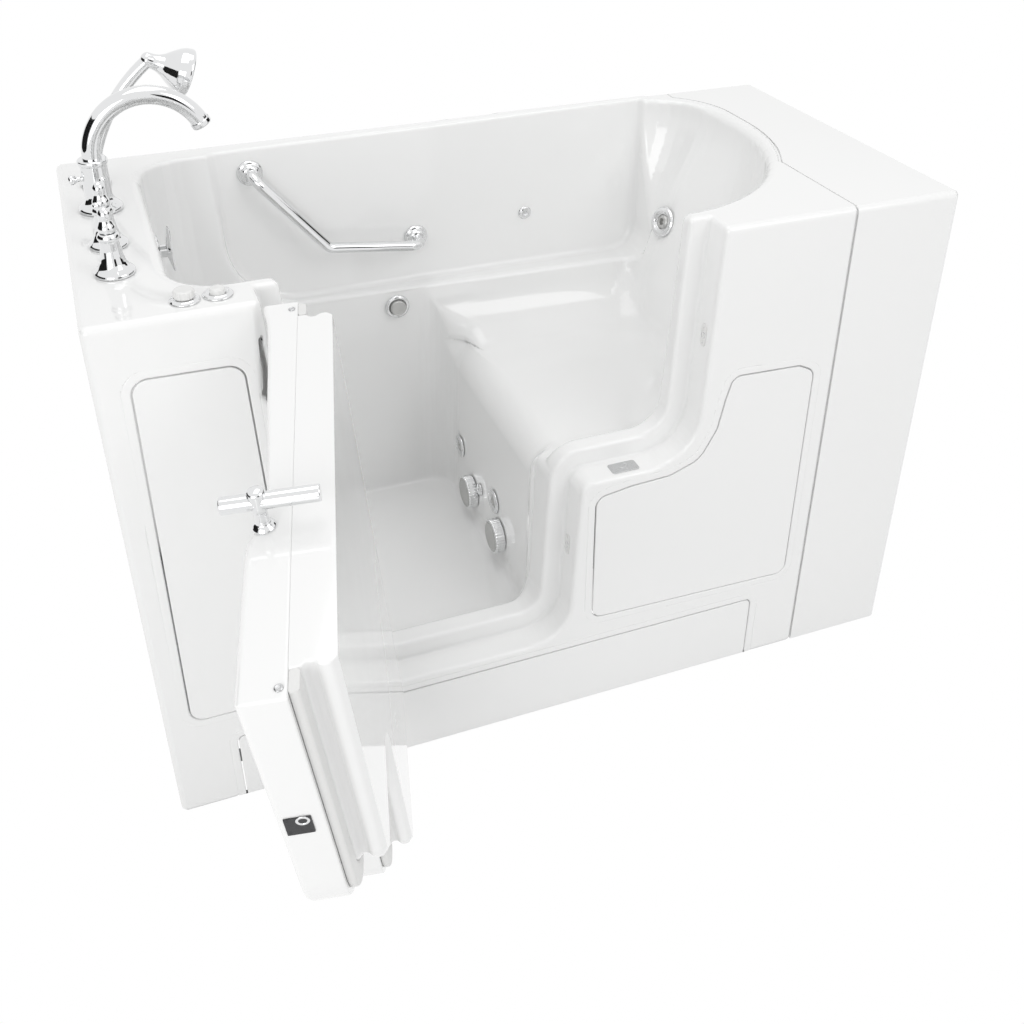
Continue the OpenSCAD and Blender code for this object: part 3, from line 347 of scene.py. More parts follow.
def facing_left(x, at):
    return shift(x, *at) @ turn_about(Y, -90)


def facing_right(x, at):
    return shift(x, *at) @ turn_about(Y, 90)


def facing_front(at, y):
    return shift(at[0], y, at[1]) @ turn_about(X, 90)


def back_wall_y(x):
    return POCKET_CORNER[1] + (x - POCKET_CORNER[0]) * math.tan(math.radians(POCKET_TURN))


def on_back_wall(at):
    return shift(at[0], back_wall_y(at[0]), at[1]) @ turn_about(Z, POCKET_TURN) @ turn_about(X, 90)


def on_head_wall():
    return (shift(*HEAD_JET) @ turn_about(Z, HEAD_JET_YAW + 180)
            @ turn_about(Y, 90 - HEAD_JET_TILT) @ np.diag([HEAD_JET_SIZE] * 3 + [1]))


OPEN_DOOR = (shift(*HINGE_TOP) @ turn_about(HINGE_AXIS, -DOOR_OPEN)
             @ shift(*[-v for v in HINGE_TOP]))


def door_piece(name, *parts):
    """One object from parts that are given where the closed door has them."""
    return joined(name, *[put(part, OPEN_DOOR) for part in parts])


# ---------- materials ----------


def surface(name, colour, roughness, metallic=0.0, spread=0.03, grain=60.0, bump=0.02,
            stretch=(1, 1, 1), tint=0.02, coat=()):
    """A finish whose roughness, colour and relief vary a little over the surface."""
    material = bpy.data.materials.new(name)
    material.use_nodes = True
    tree = material.node_tree
    place = new_node(tree, "TexCoord", {})
    scale = new_node(tree, "Mapping", {"Vector": place.outputs["Object"], "Scale": stretch})
    noise = new_node(tree, "TexNoise", {"Vector": scale.outputs[0], "Scale": grain, "Detail": 3})
    grey = noise.outputs["Fac"]
    rough = new_node(tree, "MapRange", {
        "Value": grey, "From Min": 0.3, "From Max": 0.7,
        "To Min": max(roughness - spread, 0.01), "To Max": roughness + spread})
    darker = [c * (1 - tint) for c in colour]
    shade_node = new_node(tree, "Mix", {0: grey, 6: (*colour, 1), 7: (*darker, 1)})
    shade_node.data_type = "RGBA"
    relief = new_node(tree, "Bump", {"Height": grey, "Strength": bump, "Distance": 0.0004})
    feed(tree, tree.nodes["Principled BSDF"], {
        "Metallic": metallic, "Roughness": rough.outputs[0], "Normal": relief.outputs[0],
        "Base Color": shade_node.outputs[2], **dict(coat)})
    return material


def gelcoat():
    """Glossy white moulding, with the slow waviness of a hand-laid laminate."""
    return surface("gelcoat", (0.92, 0.922, 0.918), 0.075, spread=0.02, grain=7.0, bump=0.05,
                   tint=0.012, coat={"IOR": 1.5, "Coat Weight": 0.35, "Coat Roughness": 0.03})


def chrome():
    return surface("chrome", (0.8, 0.805, 0.81), 0.05, metallic=1.0, spread=0.025, grain=40.0,
                   bump=0.01, tint=0.04)


def satin_nickel():
    return surface("satin_nickel", (0.56, 0.56, 0.55), 0.36, metallic=0.75, spread=0.06,
                   grain=500.0, bump=0.05, tint=0.08)


def stainless():
    return surface("stainless", (0.58, 0.585, 0.59), 0.3, metallic=1.0, spread=0.1, grain=420.0,
                   bump=0.08, stretch=(1, 14, 14), tint=0.1)


def galvanised_steel():
    return surface("galvanised_steel", (0.46, 0.47, 0.475), 0.5, metallic=0.6, spread=0.14,
                   grain=75.0, bump=0.1, tint=0.35)


def white_plastic():
    return surface("white_plastic", (0.82, 0.82, 0.81), 0.22, spread=0.05, grain=260.0, bump=0.03)


def black_plastic():
    return surface("black_plastic", (0.03, 0.03, 0.033), 0.45, spread=0.1, grain=700.0, bump=0.18,
                   tint=0.3)


def grey_plastic():
    return surface("grey_plastic", (0.3, 0.31, 0.32), 0.42, spread=0.08, grain=350.0, bump=0.1,
                   tint=0.12)


def pipe_white():
    return surface("pipe_white", (0.72, 0.72, 0.7), 0.4, spread=0.07, grain=300.0, bump=0.06,
                   tint=0.06)


def pipe_red():
    return surface("pipe_red", (0.5, 0.09, 0.06), 0.42, spread=0.08, grain=300.0, bump=0.08,
                   tint=0.14)


def seal_rubber():
    return surface("seal_rubber", (0.8, 0.8, 0.79), 0.38, spread=0.08, grain=420.0, bump=0.08,
                   tint=0.04)


FINISHES = {make.__name__: make() for make in (
    gelcoat, chrome, satin_nickel, stainless, galvanised_steel, white_plastic, black_plastic,
    grey_plastic, pipe_white, pipe_red, seal_rubber)}


def dressed(thing, material, body, *nodes):
    """Gives a piece its finish, hides the model's solids that it stands in for, and hangs it on the body
    that carries it.
    """
    thing.data.materials.append(FINISHES[material])
    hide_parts(*nodes)
    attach(thing, body)
    return thing


CAD_FINISHES = {
    "galvanised_steel": ["base_frame", "levelling_feet"],
    "stainless": ["hinge_frame_leaves", "hinge_pins", "hinge_door_leaves", "latch_case",
                  "upper_bolt", "ledge_bolt", "lower_bolt"],
    "black_plastic": ["jet_pump", "air_blower"],
    "grey_plastic": ["waste_pipe"],
    "pipe_white": ["jet_pipes"],
    "pipe_red": ["supply_pipes"],
}


def dress_cad():
    """The solids behind the panels keep their shape and get a finish."""
    for material, nodes in CAD_FINISHES.items():
        for node in nodes:
            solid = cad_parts[node]
            solid.data.materials.clear()
            solid.data.materials.append(FINISHES[material])


# ---------- outlines ----------

CORNER_STEPS = 14
LEAST_ROUND = 0.5


def corner_arc(before, at, after, inset, steps):
    """One corner of an outline, moved inward and rounded. Corners are (x, z, radius)."""
    d1 = np.subtract(at[:2], before[:2])
    d2 = np.subtract(after[:2], at[:2])
    d1 = d1 / np.hypot(*d1)
    d2 = d2 / np.hypot(*d2)
    left1 = np.array([-d1[1], d1[0]])
    left2 = np.array([-d2[1], d2[0]])
    turn = math.atan2(d1[0] * d2[1] - d1[1] * d2[0], d1 @ d2)
    corner = np.array(at[:2]) + (left1 + left2) * inset / (1 + d1 @ d2)
    sign = 1 if turn > 0 else -1
    radius = max(at[2] - sign * inset, LEAST_ROUND)
    start = corner - d1 * radius * math.tan(abs(turn) / 2)
    centre = start + left1 * radius * sign
    arm = start - centre
    return [centre + [arm[0] * math.cos(a) - arm[1] * math.sin(a),
                      arm[0] * math.sin(a) + arm[1] * math.cos(a)]
            for a in (turn * k / steps for k in range(steps + 1))]


def outline(corners, inset=0.0, steps=CORNER_STEPS):
    n = len(corners)
    return np.array([p for i in range(n) for p in
                     corner_arc(corners[i - 1], corners[i], corners[(i + 1) % n], inset, steps)])


def polygon_distance(px, py, polygon):
    """Signed distance to a closed polygon, negative inside."""
    nearest = np.full(px.shape, 1e12)
    inside = np.zeros(px.shape, bool)
    for a, b in zip(polygon, np.roll(polygon, -1, axis=0)):
        e = b - a
        if e @ e < 1e-12:
            continue
        wx, wy = px - a[0], py - a[1]
        t = np.clip((wx * e[0] + wy * e[1]) / (e @ e), 0, 1)
        dx, dy = wx - e[0] * t, wy - e[1] * t
        nearest = np.minimum(nearest, dx * dx + dy * dy)
        crosses = (a[1] > py) != (b[1] > py)
        inside ^= crosses & (px < (b[0] - a[0]) * (py - a[1]) / (b[1] - a[1] + 1e-30) + a[0])
    d = np.sqrt(nearest)
    return np.where(inside, -d, d)


CHART_LOW = (0, -60)
CHART_HIGH = (OVERALL_LENGTH, 1100)


class Chart:
    """A signed distance to a polygon, kept on a fine grid and read between its points."""

    def __init__(self, polygon, step=2.0):
        self.step = step
        axes = [low + step * np.arange(int((high - low) / step) + 2)
                for low, high in zip(CHART_LOW, CHART_HIGH)]
        self.grid = polygon_distance(*np.meshgrid(*axes, indexing="ij"), polygon)

    def __call__(self, x, y):
        g = self.grid
        u = np.clip((x - CHART_LOW[0]) / self.step, 0, g.shape[0] - 1.001)
        v = np.clip((y - CHART_LOW[1]) / self.step, 0, g.shape[1] - 1.001)
        i, j = u.astype(int), v.astype(int)
        u, v = u - i, v - j
        return ((g[i, j] * (1 - u) + g[i + 1, j] * u) * (1 - v)
                + (g[i, j + 1] * (1 - u) + g[i + 1, j + 1] * u) * v)


def smooth_rows(rows):
    """Turns a table whose first column is the height into a function of height that rounds
    between its rows without overshooting them."""
    table = np.array(rows, float)
    z, values = table[:, 0], table[:, 1:]
    h = np.diff(z)[:, None]
    slope = np.diff(values, axis=0) / h
    tangent = np.zeros_like(values)
    tangent[0], tangent[-1] = slope[0], slope[-1]
    w1 = 2 * h[1:] + h[:-1]
    w2 = h[1:] + 2 * h[:-1]
    same = slope[:-1] * slope[1:] > 0
    safe = np.where(same, w1 / np.where(same, slope[:-1], 1) + w2 / np.where(same, slope[1:], 1), 1)
    tangent[1:-1] = np.where(same, (w1 + w2) / safe, 0)

    def read(at):
        at = np.clip(at, z[0], z[-1])
        i = np.clip(np.searchsorted(z, at, side="right") - 1, 0, len(z) - 2)
        step = z[i + 1] - z[i]
        t = ((at - z[i]) / step)[..., None]
        h00 = (1 + 2 * t) * (1 - t) ** 2
        h01 = t * t * (3 - 2 * t)
        h10 = t * (1 - t) ** 2
        h11 = t * t * (t - 1)
        bulge = step[..., None] * (h10 * tangent[i] + h11 * tangent[i + 1])
        return np.moveaxis(h00 * values[i] + h01 * values[i + 1] + bulge, -1, 0)
    return read


def ramp(x, *spans):
    """1 beyond the end of every span and 0 before the start of any, with soft rises between."""
    height = 1
    for start, end in spans:
        t = np.clip((x - start) / (end - start), 0, 1)
        height = height * (t * t * (3 - 2 * t))
    return height


def both(*distances):
    """Distance to what several forms have in common."""
    return reduce(np.maximum, distances)


def either(*distances):
    """Distance to several forms together."""
    return reduce(np.minimum, distances)


def join_round(a, b, r):
    """Union of two distances whose inner corner is filled with a round of radius r."""
    return np.maximum(r, either(a, b)) - np.hypot(np.maximum(r - a, 0), np.maximum(r - b, 0))


def cut_round(a, b, r):
    """Intersection of two distances whose outer corner is rounded with radius r."""
    return -join_round(-a, -b, r)


# ---------- the moulded shell ----------

PILLAR_X = 258
THRESHOLD_Z = 176
THRESHOLD_END = 772
LEDGE_START = 791
LEDGE_Z = 538
JAMB_X = 1022
JAMB_LEAN = 0.0452
REBATE = 60
STOP_WIDTH = 38
STOP_BACK = 130
FLOOR_Z = 145
SEAT_Z = 530
RISER_X = 745
FOOT_TOP = SEAT_Z + 125         # the footwell ends here, inside the seat space
FOOT_ROUND = 4
SEAT_ROUND = 8
SEAT_CORNER = 85
HEAD_START = 1000               # the long curve of the head end starts here
HEAD_CORNER = 942
BACK_CORNER = 60
CORNER_GROWTH = 0.25            # of the back corner's radius for each millimetre of height
NOSE_ROUND = 62
SEAM_ROUND = 3
# The seat's front turns from a seam to a full roll over these spans, away from the walls
NOSE_SPANS_X = ((620, 735), (960, 850))
NOSE_SPAN_FRONT = (8, 70)       # from the footwell's front wall
NOSE_SPAN_BACK = (660, 610)
NOSE_SPANS_Z = ((400, 470), (650, 600))
POCKET_DEEP = 90
POCKET_ROUND = 14
BLEND = 9                       # round where the doorway and the pocket meet the basin
RIM_ROLL = 17
EDGE_ROLL = 8
ROLL_SPAN_Z = (960, 985)        # the rim's roll is full beyond this span
ROLL_SPANS_Y = ((60, 90), (650, 600))
THICK = 10                      # of the walls, as far as they can be seen
RIM_LIP = 9
RIM_BEAD = 3
RIM_REACH = RIM_ROLL + RIM_LIP - RIM_BEAD
RIM_DEEP = 80                   # how far down the rim is solid before the shell is hollowed
FAR = 200                       # well outside the piece
FAR_ABOVE = TUB_HEIGHT + 100


def lean(z):
    return (TUB_HEIGHT - z) * math.tan(math.radians(HINGE_LEAN))


def doorway(top, radii, hinge_gap=0, gap=0):
    """Corners of the leaning, stepped doorway, or of a door with gaps round it."""
    hinge_side, free_side = PILLAR_X + hinge_gap, JAMB_X - gap
    sides = [(hinge_side + lean(top), top), (hinge_side + lean(THRESHOLD_Z), THRESHOLD_Z + gap),
             (THRESHOLD_END - gap, THRESHOLD_Z + gap), (LEDGE_START - gap, LEDGE_Z + gap),
             (free_side, LEDGE_Z + gap), (free_side + (top - LEDGE_Z) * JAMB_LEAN, top)]
    return [(x, z, radius) for (x, z), radius in zip(sides, radii)]


DOORWAY = doorway(FAR_ABOVE, (1, 30, 85, 28, 100, 1))
LEFT_PANEL = [(56, 907, 25), (48, 214, 25), (246, 214, 25), (228, 688, 60), (220, 903, 25)]
RIGHT_PANEL = [
    (823, 212, 22), (822, 499, 22), (893, 510, 40), (972, 514, 60), (1033, 537, 55),
    (1065, 597, 60), (1077, 660, 60), (1089, 704, 20), (1228, 699, 22), (1260, 683, 22),
    (1261, 201, 22),
][::-1]
TOE_PANEL = [(121, -20, 2), (1187, -20, 2), (1187, 147, 12), (121, 147, 12)]
PANEL_GAP = 2.5
SURROUND = 16                   # how wide the moulded edge round each panel is

# Footwell: height, left, right, front, back, corner radius
FOOTWELL = [
    (FLOOR_Z, 184, RISER_X - 20, 182, 652, 50),
    (FLOOR_Z + 3, 174, RISER_X - 10, 166, 662, 58),
    (FLOOR_Z + 12, 166, RISER_X - 3, 146, 668, 63),
    (FLOOR_Z + 30, 162, RISER_X, 124, 671, 66),
    (THRESHOLD_Z + STOP_WIDTH, 160, RISER_X + 1, 106, 672, 68),
    (SEAT_Z + 130, 152, RISER_X + 12, 100, 664, 72),
]
# Seat space: height, left, right, front, back at the left, back at the right
SEAT_SPACE = [
    (SEAT_Z, 152, 1120, 120, 508, 508),
    (SEAT_Z + 5, 152, 1156, 110, 548, 548),
    (SEAT_Z + 22, 151, 1184, 104, 592, 592),
    (SEAT_Z + 50, 151, 1198, 101, 628, 628),
    (SEAT_Z + 90, 150, 1212, 99, 655, 655),
    (SEAT_Z + 140, 150, 1228, 98, 664, 667),
    (SEAT_Z + 270, 147, 1273, 95, 668, 690),
    (TUB_HEIGHT - 18, 141, 1342, 92, 678, 718),
    (TUB_HEIGHT + 60, 141, 1342, 92, 678, 718),
]
POCKET = [(276, FAR_ABOVE, 1), (296, 672, 150), (1235, 650, 60), (1235, FAR_ABOVE, 1)]
# Lower end, rise, and radius at either end of the finger scoop in the pillar's front edge
PILLAR_SCOOP = ((262, -8.5, 846), 144, 22, 16)

footwell_at = smooth_rows(FOOTWELL)
seat_space_at = smooth_rows(SEAT_SPACE)
door_mouth = Chart(outline(DOORWAY))
door_through = Chart(outline(DOORWAY, STOP_WIDTH))
pocket_front = Chart(outline(POCKET))
panel_holes = [Chart(outline(corners), 1.0) for corners in (LEFT_PANEL, RIGHT_PANEL, TOE_PANEL)]


def plan_points(left, right, front, back_left, back_right, side, far, head_x, head_y):
    """Corners of a basin's plan, anticlockwise, as four arcs."""
    return (arc((left + side, front + side), (side, side), 180, 270, 7)
            + arc((right - head_x, front + head_y), (head_x, head_y), 270, 360, 16)
            + arc((right - far, back_right - far), (far, far), 0, 90, 9)
            + arc((left + side, back_left - side), (side, side), 90, 180, 7))


def plan_distance(x, y, points):
    """Signed distance to a convex plan whose corners are arrays that go with x and y."""
    inside = np.full(np.broadcast(x, points[0][0]).shape, -1e9)
    nearest = np.full(inside.shape, 1e12)
    for (ax, ay), (bx, by) in zip(points, points[1:] + points[:1]):
        ex, ey = bx - ax, by - ay
        length = ex * ex + ey * ey + 1e-9
        wx, wy = x - ax, y - ay
        inside = np.maximum(inside, (wx * ey - wy * ex) / np.sqrt(length))
        t = np.clip((wx * ex + wy * ey) / length, 0, 1)
        dx, dy = wx - ex * t, wy - ey * t
        nearest = np.minimum(nearest, dx * dx + dy * dy)
    return np.where(inside < 0, inside, np.sqrt(nearest))


def squared_to(rows, bottom, z, plan):
    """A distance in plan turned to one at right angles to a wall that leans as its rows do."""
    z = np.maximum(z, bottom + 1)
    slant = np.abs(rows(z + 1) - rows(z - 1)).max(axis=0) / 2
    return plan / np.sqrt(1 + slant * slant)


def head_end(right, front, back_left, z):
    """Radius of the seat space's back corner, and both radii of the head end's long curve."""
    return (BACK_CORNER + np.maximum(z - SEAT_Z - 100, 0) * CORNER_GROWTH, right - HEAD_START,
            np.minimum(right - HEAD_CORNER, back_left - front - BACK_CORNER))


def footwell_distance(x, y, z):
    left, right, front, back, corner = footwell_at(z)
    plan = plan_distance(x, y, plan_points(left, right, front, back, back, *[corner] * 4))
    return cut_round(squared_to(footwell_at, FLOOR_Z, z, plan), FLOOR_Z - z, FOOT_ROUND), front


def seat_distance(x, y, z):
    left, right, front, back_left, back_right = seat_space_at(z)
    points = plan_points(left, right, front, back_left, back_right, SEAT_CORNER,
                         *head_end(right, front, back_left, z))
    plan = squared_to(seat_space_at, SEAT_Z, z, plan_distance(x, y, points))
    return cut_round(plan, SEAT_Z - z, SEAT_ROUND)


def basin_distance(x, y, z):
    """Distance to the space inside the basin, without the doorway."""
    foot, front = footwell_distance(x, y, z)
    rolled = (ramp(x, *NOSE_SPANS_X) * ramp(y - front, NOSE_SPAN_FRONT) * ramp(y, NOSE_SPAN_BACK)
              * ramp(z, *NOSE_SPANS_Z))
    space = join_round(both(foot, z - FOOT_TOP), seat_distance(x, y, z),
                       SEAM_ROUND + (NOSE_ROUND - SEAM_ROUND) * rolled)
    dx, dy = x - POCKET_CORNER[0], y - POCKET_CORNER[1]
    cos, sin = math.cos(math.radians(POCKET_TURN)), math.sin(math.radians(POCKET_TURN))
    behind = dy * cos - dx * sin
    recess = cut_round(pocket_front(POCKET_CORNER[0] + dx * cos + dy * sin, z), behind, POCKET_ROUND)
    return join_round(space, both(recess, -POCKET_DEEP - behind), BLEND)


def round_box(x, y, z, low, high, r):
    q = [np.maximum(l + r - v, v - (h - r)) for v, l, h in zip((x, y, z), low, high)]
    outer = np.sqrt(sum(np.maximum(k, 0) ** 2 for k in q))
    return outer + np.minimum(both(*q), 0) - r


def flat_box(x, y, z, low, high):
    return both(*[v for c, l, h in zip((x, y, z), low, high) for v in (l - c, c - h)])


def scoop_distance(x, y, z):
    (x0, y0, z0), rise, low_radius, high_radius = PILLAR_SCOOP
    t = np.clip((z - z0) / rise, 0, 1)
    middle = np.sqrt((x - x0) ** 2 + (y - y0) ** 2 + (z - z0 - rise * t) ** 2)
    return middle - low_radius - (high_radius - low_radius) * t


def hollow_distance(x, y, z):
    """Distance to the space behind the walls, open to the back, the left and the right."""
    inside = round_box(x, y, z, (THICK, THICK, -FAR),
                       (TUB_LENGTH + FAR, TUB_DEPTH - THICK, TUB_HEIGHT - THICK), 2)
    back = flat_box(x, y, z, (70, TUB_DEPTH - 30, -FAR), (TUB_LENGTH - 70, TUB_DEPTH + 9, TUB_HEIGHT - 50))
    left = flat_box(x, y, z, (-9, 70, -FAR), (30, TUB_DEPTH - 70, TUB_HEIGHT - 50))
    return either(inside, back, left)


def shell_distance(x, y, z):
    basin = basin_distance(x, y, z)
    through = both(door_through(x, z), y - STOP_BACK, REBATE - 6 - y)
    mouth = cut_round(door_mouth(x, z), y - REBATE, 6)
    space = join_round(join_round(basin, through, BLEND), mouth, 8)
    casing = round_box(x, y, z, (0, 0, -100), (TUB_LENGTH + FAR, TUB_DEPTH, TUB_HEIGHT), CASING_ROUND)
    casing = cut_round(casing, x - TUB_LENGTH, 1.5)
    under = both(TUB_HEIGHT - RIM_DEEP - z, y - TUB_DEPTH + THICK)
    rim = both(basin - RIM_REACH, z - TUB_HEIGHT, y - TUB_DEPTH, either(TUB_HEIGHT - THICK - z, under))
    wall = both(basin - THICK, z - TUB_HEIGHT + 1, y - TUB_DEPTH)
    rolled = ramp(z, ROLL_SPAN_Z) * ramp(y, *ROLL_SPANS_Y)
    solid = cut_round(either(casing, rim, wall), -space, EDGE_ROLL + (RIM_ROLL - EDGE_ROLL) * rolled)
    solid = both(solid, -both(hollow_distance(x, y, z), THICK - space))
    for hole in panel_holes:
        solid = both(solid, -both(hole(x, z) - SURROUND + 3, y - 4 * WALL))
    return both(cut_round(solid, -scoop_distance(x, y, z), 4), -z)


CORNERS = np.array([(1, 1, 1), (1, -1, -1), (-1, 1, -1), (-1, -1, 1)])
SHELL_LOW = np.array([-15, -15, -10])
SHELL_HIGH = np.array([1385, 755, 1013])
BLOCK = 5                       # grid points along the side of a block
NEAR = 1.25                     # blocks from the surface that are still worked out point by point


def sampled(function, points, step=0.4):
    """Value and slope of a function at each point, from four samples round it."""
    around = [function(*(points + corner * step).T) for corner in CORNERS]
    slope = sum(np.outer(value, corner) for value, corner in zip(around, CORNERS)) / (4 * step)
    return sum(around) / 4, slope


def settle(function, points, rounds=2, limit=3.0):
    """Moves points onto the surface where the distance is zero."""
    for _ in range(rounds):
        value, slope = sampled(function, points)
        move = slope * (value / np.maximum((slope ** 2).sum(1), 0.05))[:, None]
        length = np.linalg.norm(move, axis=1)
        points = points - move * np.minimum(1, limit / np.maximum(length, 1e-9))[:, None]
    return points


def near_surface(function, low, counts, step):
    """Fills a grid with distances. Only blocks that the surface may cross are worked out
    point by point, and the others keep the distance at their middle."""
    field = np.empty(tuple(counts), np.float32)
    middles = [low[k] + step * (np.arange(0, counts[k], BLOCK) + (BLOCK - 1) / 2) for k in range(3)]
    coarse = function(*np.meshgrid(*middles, indexing="ij"))
    for i, k in np.ndindex(*coarse.shape[:2]):
        run = [slice(n * BLOCK, (n + 1) * BLOCK) for n in (i, k)]
        field[run[0], run[1], :] = np.repeat(coarse[i, k], BLOCK)[:counts[2]]
        close = np.abs(coarse[i, k]) < BLOCK * step * NEAR
        levels = np.flatnonzero(np.repeat(close, BLOCK)[:counts[2]])
        if len(levels):
            axes = [low[n] + step * np.arange(*run[n].indices(counts[n])) for n in (0, 1)]
            axes.append(low[2] + step * levels)
            field[run[0], run[1], levels] = function(*np.meshgrid(*axes, indexing="ij"))
    return field


def moulded(name, function, low, high, step):
    """Meshes the surface of a distance function, with normals that follow it."""
    counts = np.ceil((high - low) / step).astype(int) + 1
    band = 3 * step
    grid = openvdb.FloatGrid(band)
    grid.copyFromArray(np.clip(near_surface(function, low, counts, step), -band, band))
    points, triangles, quads = grid.convertToPolygons(0.0, 0.0)
    points = settle(function, points.astype(float) * step + low)
    mesh = bpy.data.meshes.new(name)
    mesh.from_pydata(to_row(points), [], [tuple(map(int, f)) for f in [*quads, *triangles]])
    for face in mesh.polygons:
        face.use_smooth = True
    normals = sampled(function, points)[1]
    normals /= np.maximum(np.linalg.norm(normals, axis=1), 1e-9)[:, None]
    mesh.update()
    mesh.normals_split_custom_set_from_vertices(normals)
    return linked(name, mesh)


# ---------- pieces of the casing ----------


def make_shell():
    shell = moulded("bath_moulding", shell_distance, SHELL_LOW, SHELL_HIGH, SHELL_STEP)
    return dressed(shell, "gelcoat", "bath", "bath_shell")


def pushed(path, distance):
    """A line in plan, moved to its right."""
    ahead = headings(path)
    return path + np.column_stack([ahead[:, 1], -ahead[:, 0]]) * distance


def make_rim_edge():
    """Rolled edge of the rim where it runs over the extension panel."""
    _, right, front, back_left, back_right = seat_space_at(np.array(TUB_HEIGHT))
    far, head_x, head_y = head_end(right, front, back_left, TUB_HEIGHT)
    path = pushed(np.array(arc((right - head_x, front + head_y), (head_x, head_y), -90, 0, 60)
                           + arc((right - far, back_right - far), (far, far), 0, 90, 30)), RIM_REACH)
    path = path[path[:, 0] > TUB_LENGTH - 6]
    edge = joined("rim_edge", tube(level(path, TUB_HEIGHT - RIM_BEAD), RIM_BEAD, 16))
    return dressed(edge, "gelcoat", "bath"), path


def round_bar_box(low, high, r, steps=12):
    """Points and faces of a box whose upright and top edges, except at its left end, are
    rounded. The left end is cut square."""
    (x0, y0, z0), (x1, y1, z1) = low, high

    def ring(rise, inset):
        radii = (r - inset, r - inset)
        return level(np.array([(x0, y0 + inset), *arc((x1 - r, y0 + r), radii, -90, 0, steps),
                               *arc((x1 - r, y1 - r), radii, 0, 90, steps), (x0, y1 - inset)]), rise)
    top = [ring(z1 - depth, inset) for inset, depth in reversed(edge_round(r, steps))]
    return stacked([ring(z0, 0)] + top)


def cut_away(thing, *cutters):
    """Subtracts the cutters from a mesh and removes them."""
    for cutter in cutters:
        change = thing.modifiers.new("cut", "BOOLEAN")
        change.operation = "DIFFERENCE"
        change.solver = "EXACT"
        change.object = cutter
    thing.modifiers.remove(thing.modifiers["shading"])
    bpy.context.view_layer.update()
    done = bpy.data.meshes.new_from_object(thing.evaluated_get(bpy.context.evaluated_depsgraph_get()))
    thing.modifiers.clear()
    thing.data = done
    for cutter in cutters:
        bpy.data.objects.remove(cutter)
    shade(thing)


def prism(name, line, low, high):
    """A straight block over a plan."""
    return joined(name, stacked([level(np.array(line), z) for z in (low, high)]))


def make_extension(rim_path):
    low, high = (TUB_LENGTH + 1.5, 0, 0), (OVERALL_LENGTH, TUB_DEPTH, TUB_HEIGHT)
    panel = joined("extension_moulding", round_bar_box(low, high, CASING_ROUND))
    near, end, back = TUB_LENGTH - 3, OVERALL_LENGTH - WALL, TUB_DEPTH + 4
    hollow = prism("hollow", [(near, WALL), (end, WALL), (end, back), (near, back)], -5, TUB_HEIGHT - WALL)
    line = pushed(rim_path, RIM_BEAD + 1.6)
    ends = [(TUB_LENGTH - 8, line[k][1]) for k in (0, -1)]
    notch = prism("notch", [ends[0], *line, ends[1]], TUB_HEIGHT - 60, TUB_HEIGHT + 20)
    cut_away(panel, hollow, notch)
    return dressed(panel, "gelcoat", "bath", "extension_panel")


PANEL_ROUND = 1.6
PANEL_FOOT = 0.5                # how far above the floor the panels end


def panel_ring(corners, inset, y):
    points = upright(outline(corners, inset), y)
    points[:, 2] = np.maximum(points[:, 2], PANEL_FOOT)
    return points


def panel_plate(corners):
    lines = edge_round(PANEL_ROUND, 5) + [(0, WALL)]
    return stacked([panel_ring(corners, inset, y) for inset, y in lines])


def panel_surround(corners):
    """The moulded edge of the shell round a panel."""
    profile = [(-PANEL_GAP, WALL + 2), (-PANEL_GAP, PANEL_ROUND), (-PANEL_GAP - PANEL_ROUND, -0.1),
               (-SURROUND + 4, -0.08), (-SURROUND - 1, 0.06), (-SURROUND - 1, WALL + 2)]
    rings = [panel_ring(corners, inset, y) for inset, y in soften(profile, PANEL_ROUND, True)]
    return np.concatenate(rings), grid_faces(len(rings), len(rings[0]), True, True)


PANELS = {
    "left_panel": (LEFT_PANEL, "left_access_panel"),
    "right_panel": (RIGHT_PANEL, "right_access_panel"),
    "toe_panel": (TOE_PANEL, "toe_kick_panel"),
}


def make_panels():
    for name, (corners, node) in PANELS.items():
        dressed(joined(name, panel_plate(corners)), "gelcoat", "bath", node)
        dressed(joined(name + "_surround", panel_surround(corners)), "gelcoat", "bath")


# ---------- door ----------

HINGE_GAP = 45
DOOR_GAP = 4
DOOR_SHELL = 54
DOOR_DEPTH = 104
DOOR_ROLL = 9
FACE_STEPS = 10
FACE_PITCH = 14
EDGE_PITCH = 16
SCOOP_DEEP = 190
SCOOP_REACH = 46
SCOOP = [(304, 0), (353, 9), (541, 16), (720, 22), (786, 10), (812, 0)]

scoop_across = smooth_rows(SCOOP)


def door_corners(top):
    top_round = 3 + max(0, top - TUB_HEIGHT)
    return doorway(top, (top_round, 24, 81, 32, 96, top_round), HINGE_GAP, DOOR_GAP)


def scooped(points):
    """Presses the finger scoop into the door's face."""
    x, y, z = points.T
    across = np.where((x > SCOOP[0][0]) & (x < SCOOP[-1][0]), scoop_across(x)[0], 0)
    down = np.clip((z - TUB_HEIGHT + SCOOP_DEEP) / SCOOP_DEEP, 0, 1)
    return np.column_stack([x, y + across * down ** 1.4 * np.clip(1 - y / SCOOP_REACH, 0, 1), z])


def face_mesh(edge, y, pitch):
    """A flat face inside an outline, with points all over it."""
    low, high = edge.min(0), edge.max(0)
    gx, gz = np.meshgrid(np.arange(low[0], high[0], pitch), np.arange(low[1], high[1], pitch))
    gx, gz = gx.ravel(), gz.ravel()
    inner = polygon_distance(gx, gz, edge) < -0.6 * pitch
    points = [tuple(p) for p in edge] + list(zip(gx[inner], gz[inner]))
    loop = [(k, (k + 1) % len(edge)) for k in range(len(edge))]
    found = delaunay_2d_cdt([Vector(p) for p in points], loop, [], 1, 1e-5)
    return upright(np.array([tuple(p) for p in found[0]]), y), [tuple(f) for f in found[2]]


